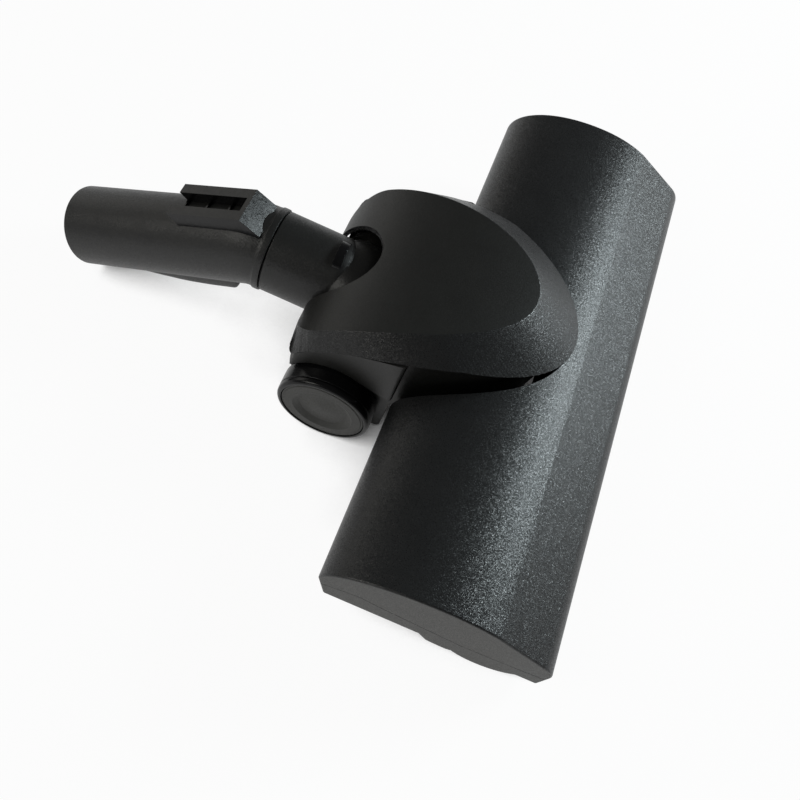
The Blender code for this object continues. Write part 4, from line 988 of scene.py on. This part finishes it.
def add_filament(bm, root, tip, radius, turn):
    """A thin closed three-sided filament between two points, narrower at its tip."""
    ahead = (tip - root).normalized()
    side = ahead.orthogonal().normalized()
    other = ahead.cross(side)
    loops = []
    for place, width in ((root, radius), (tip, radius * FILAMENT_TAPER)):
        ring = []
        for corner in range(3):
            angle = turn + 2 * pi * corner / 3
            ring.append(bm.verts.new((place + (side * cos(angle) + other * sin(angle)) * width) * MM))
        loops.append(ring)
    for corner in range(3):
        beyond = (corner + 1) % 3
        bm.faces.new((loops[0][corner], loops[0][beyond], loops[1][beyond], loops[1][corner]))
    bm.faces.new(list(reversed(loops[0])))
    bm.faces.new(loops[1])


def add_tuft(bm, rng, x, angle):
    """Filaments that spread a little from one place on the roll."""
    middle = Vector((x, 0.0, 0.0))
    sideways = Vector((1.0, 0.0, 0.0))
    along = Vector((0.0, cos(angle), sin(angle)))
    across = Vector((0.0, -sin(angle), cos(angle)))
    for _ in range(TUFT_FILAMENTS):
        turn = rng.uniform(0.0, 2 * pi)
        spread = sqrt(rng.random())
        root = middle + along * (CORE_RADIUS - TUFT_SINK)
        root += sideways * TUFT_ROOT * spread * cos(turn) + across * TUFT_ROOT * spread * sin(turn)
        tip = middle + along * rng.uniform(BRISTLE_RADIUS - TUFT_UNEVEN, BRISTLE_RADIUS - TUFT_SHORT)
        sway = rng.uniform(-TIP_SWAY_ALONG, TIP_SWAY_ALONG)
        tip += sideways * (TUFT_TIP * spread * cos(turn) + sway)
        sway = rng.uniform(-TIP_SWAY_ACROSS, TIP_SWAY_ACROSS)
        tip += across * (TUFT_TIP * spread * sin(turn) + sway)
        add_filament(bm, root, tip, FILAMENT_RADIUS, turn)


def make_bristles(finish):
    """Tufts of filaments along the roll's four helical rows."""
    rng = random.Random(7)
    axis = HEAD @ Matrix.Translation(Vector((0.0, ROLL_Y, ROLL_HEIGHT)) * MM)
    for row in range(2):
        for end, outer, inner in bristle_spans():
            bm = bmesh.new()
            length = abs(inner - outer)
            tufts = int(length / TUFT_SPACING)
            for tuft in range(tufts):
                share = (tuft + 0.5) / tufts
                angle = radians(row * 180.0 + BRISTLE_TWIST * share * length / 100.0)
                add_tuft(bm, rng, outer + (inner - outer) * share, angle)
            bristles = place_mesh(f"bristles_{end}_{row + 1}", bm, [finish], axis)
            finish_piece(bristles, "brush_roll", "bristle", f"bristle_row_{end}_{row + 1}", sharp=60.0)


class Nodes:
    """A material's node tree with short calls to add and join nodes."""

    def __init__(self, name, colour, roughness, metallic=0.0, specular=0.5):
        self.material = bpy.data.materials.new(name)
        self.material.use_nodes = True
        self.tree = self.material.node_tree
        self.shader = self.tree.nodes["Principled BSDF"]
        self.material.diffuse_color = (*colour, 1.0)
        self.set("Base Color", (*colour, 1.0))
        self.set("Roughness", roughness)
        self.set("Metallic", metallic)
        self.set("Specular IOR Level", specular)

    def set(self, socket, value):
        self.shader.inputs[socket].default_value = value

    def add(self, kind, **values):
        node = self.tree.nodes.new(f"ShaderNode{kind}")
        for key, value in values.items():
            setattr(node, key, value)
        return node

    def link(self, source, target):
        self.tree.links.new(source, target)

    def noise(self, scale, detail=2.0):
        """Noise at a scale in cells a metre, in the object's own coordinates."""
        place = self.add("TexCoord")
        noise = self.add("TexNoise")
        noise.inputs["Scale"].default_value = scale
        noise.inputs["Detail"].default_value = detail
        self.link(place.outputs["Object"], noise.inputs["Vector"])
        return noise.outputs["Fac"]

    def spread(self, source, low, high, from_low=0.3, from_high=0.7):
        """Map a value's middle range to another range."""
        mapping = self.add("MapRange")
        mapping.inputs["From Min"].default_value = from_low
        mapping.inputs["From Max"].default_value = from_high
        mapping.inputs["To Min"].default_value = low
        mapping.inputs["To Max"].default_value = high
        self.link(source, mapping.inputs["Value"])
        return mapping.outputs["Result"]

    def bump(self, source, height):
        """Turn a value into relief of a height in metres."""
        bump = self.add("Bump")
        bump.inputs["Distance"].default_value = height
        bump.inputs["Strength"].default_value = 1.0
        self.link(source, bump.inputs["Height"])
        self.link(bump.outputs["Normal"], self.shader.inputs["Normal"])

    def facets(self, scale, tilt):
        """Turn the normal a little another way in every grain, of so many grains a metre."""
        place = self.add("TexCoord")
        grains = self.add("TexVoronoi")
        grains.inputs["Scale"].default_value = scale
        self.link(place.outputs["Object"], grains.inputs["Vector"])
        centred = self.add("VectorMath", operation="SUBTRACT")
        centred.inputs[1].default_value = (0.5, 0.5, 0.5)
        self.link(grains.outputs["Color"], centred.inputs[0])
        scaled = self.add("VectorMath", operation="SCALE")
        scaled.inputs["Scale"].default_value = tilt
        self.link(centred.outputs[0], scaled.inputs[0])
        surface = self.add("NewGeometry")
        turned_normal = self.add("VectorMath", operation="ADD")
        self.link(surface.outputs["Normal"], turned_normal.inputs[0])
        self.link(scaled.outputs[0], turned_normal.inputs[1])
        unit = self.add("VectorMath", operation="NORMALIZE")
        self.link(turned_normal.outputs[0], unit.inputs[0])
        self.link(unit.outputs[0], self.shader.inputs["Normal"])

    def blend_colour(self, source, dark, light):
        """Let a value's middle range blend the base colour from dark to light."""
        ramp = self.add("ValToRGB")
        ramp.color_ramp.elements[0].position = 0.3
        ramp.color_ramp.elements[1].position = 0.7
        ramp.color_ramp.elements[0].color = (*dark, 1.0)
        ramp.color_ramp.elements[1].color = (*light, 1.0)
        self.link(source, ramp.inputs["Fac"])
        self.link(ramp.outputs["Color"], self.shader.inputs["Base Color"])


def grained_plastic(name, dark, light, roughness, spread, grain, tilt, specular):
    """Moulded plastic with a spark-eroded grain, each grain tilted by up to half of tilt."""
    made = Nodes(name, dark, roughness, specular=specular)
    made.facets(grain, tilt)
    fine = made.noise(grain * SHEEN_SCALE, 0.5)
    made.link(made.spread(fine, roughness - spread, roughness + spread), made.shader.inputs["Roughness"])
    made.blend_colour(made.noise(CLOUD_SCALE, 4.0), dark, light)
    return made.material


def brushed_steel():
    """Bright steel with a fine relief that also varies its roughness."""
    steel = Nodes("steel", STEEL_COLOUR, 0.3, 1.0)
    brushed = steel.noise(STEEL_GRAIN)
    steel.bump(brushed, STEEL_RELIEF)
    steel.link(steel.spread(brushed, *STEEL_ROUGHNESS), steel.shader.inputs["Roughness"])
    return steel.material


def make_finishes():
    """The materials by the names of the record's slots, and one more for the elbow and the tube."""
    made = {"steel": brushed_steel()}
    for name, looks in PLASTICS.items():
        made[name] = grained_plastic(name, *looks)
    return made


def dress_nodes(finishes):
    """Give every CAD node the material of its slot in the record."""
    for entry in frame["record"]["subparts"]:
        node = frame["nodes"][entry["node"]]
        for slot in node.material_slots:
            slot.material = finishes[entry["material_slot"]]


def add_camera():
    """The camera that the photograph was taken with, as found in the head frame."""
    data = bpy.data.cameras.new("photo_camera")
    data.sensor_width = CAMERA_SENSOR
    data.lens = CAMERA_LENS
    data.clip_start = 0.01
    camera = bpy.data.objects.new("photo_camera", data)
    turn = Matrix((CAMERA_RIGHT, -CAMERA_DOWN, -CAMERA_AHEAD)).transposed().to_4x4()
    camera.matrix_world = HEAD @ Matrix.Translation(CAMERA_PLACE) @ turn
    bpy.context.scene.collection.objects.link(camera)
    bpy.context.scene.camera = camera


def add_lamp(name, direction, distance, size, radiance, colour):
    """A soft rectangular lamp in a direction from the object, with the radiance of its face."""
    data = bpy.data.lights.new(name, "AREA")
    data.shape = "RECTANGLE"
    data.size, data.size_y = size
    data.energy = radiance * pi * size[0] * size[1]
    data.color = colour
    lamp = bpy.data.objects.new(name, data)
    lamp.location = Vector(direction).normalized() * distance
    lamp.rotation_euler = (-lamp.location).to_track_quat("-Z", "Y").to_euler()
    bpy.context.scene.collection.objects.link(lamp)


def floor_white():
    """White that glows for the camera and, weaker, in reflections, but not right under the object."""
    white = Nodes("floor_white", FLOOR_COLOUR, FLOOR_ROUGHNESS)
    ray = white.add("LightPath")
    mirrored = white.add("Math", operation="MULTIPLY")
    mirrored.inputs[1].default_value = FLOOR_MIRRORED
    white.link(ray.outputs["Is Glossy Ray"], mirrored.inputs[0])
    seen = white.add("Math", operation="MAXIMUM")
    white.link(ray.outputs["Is Camera Ray"], seen.inputs[0])
    white.link(mirrored.outputs[0], seen.inputs[1])
    share = white.add("Math", operation="MULTIPLY")
    white.link(seen.outputs[0], share.inputs[0])
    under = white.add("AmbientOcclusion", samples=8)
    under.inputs["Distance"].default_value = FLOOR_SHADE_REACH
    white.link(white.spread(under.outputs["AO"], 0.0, FLOOR_GLOW, *FLOOR_SHADE_RANGE), share.inputs[1])
    glow = white.add("Emission")
    glow.inputs["Color"].default_value = (1.0, 1.0, 1.0, 1.0)
    mix = white.add("MixShader")
    white.link(share.outputs[0], mix.inputs[0])
    white.link(white.shader.outputs[0], mix.inputs[1])
    white.link(glow.outputs[0], mix.inputs[2])
    white.link(mix.outputs[0], white.tree.nodes["Material Output"].inputs["Surface"])
    return white.material


def add_floor():
    """A white floor that shows as nearly white and keeps a faint shadow."""
    mesh = bpy.data.meshes.new("floor")
    corners = [(x * FLOOR_REACH, y * FLOOR_REACH, 0.0) for x, y in ((-1, -1), (1, -1), (1, 1), (-1, 1))]
    mesh.from_pydata(corners, [], [(0, 1, 2, 3)])
    floor = bpy.data.objects.new("floor", mesh)
    bpy.context.scene.collection.objects.link(floor)
    mesh.materials.append(floor_white())


def add_world():
    """A studio that is white at the horizon and dims towards the ceiling; the camera sees plain white."""
    world = bpy.data.worlds.new("studio")
    world.use_nodes = True
    tree = world.node_tree
    background = tree.nodes["Background"]
    place = tree.nodes.new("ShaderNodeTexCoord")
    split = tree.nodes.new("ShaderNodeSeparateXYZ")
    tree.links.new(place.outputs["Generated"], split.inputs[0])
    ramp = tree.nodes.new("ShaderNodeValToRGB")
    stops = ramp.color_ramp.elements
    for spot, (height, light) in enumerate(STUDIO_LIGHT):
        stop = stops[spot] if spot < 2 else stops.new(height)
        stop.position = height
        stop.color = (light, light, light, 1.0)
    tree.links.new(split.outputs["Z"], ramp.inputs["Fac"])
    ray = tree.nodes.new("ShaderNodeLightPath")
    mix = tree.nodes.new("ShaderNodeMix")
    mix.data_type = "RGBA"
    tree.links.new(ray.outputs["Is Camera Ray"], mix.inputs["Factor"])
    tree.links.new(ramp.outputs["Color"], mix.inputs["A"])
    mix.inputs["B"].default_value = (1.0, 1.0, 1.0, 1.0)
    tree.links.new(mix.outputs["Result"], background.inputs["Color"])
    bpy.context.scene.world = world


finishes = make_finishes()
dress_nodes(finishes)
make_head_shell(finishes["textured_black"], finishes["base_grey"])
make_cover(finishes["textured_black"], finishes["satin_black"])
make_housing(finishes["satin_black"])
for wheel_name, wheel_side in (("left", -1), ("right", 1)):
    make_wheel(wheel_name, wheel_side, finishes["gloss_black"], finishes["wheel_grey"])
make_elbow(finishes["elbow_black"])
make_tab(finishes["gloss_black"])
make_tube(finishes["elbow_black"])
make_receiver(finishes["gloss_black"])
make_bristles(finishes["bristle"])
add_camera()
add_floor()
add_world()
for lamp in LAMPS:
    add_lamp(*lamp)

bpy.context.scene.view_settings.view_transform = "Standard"
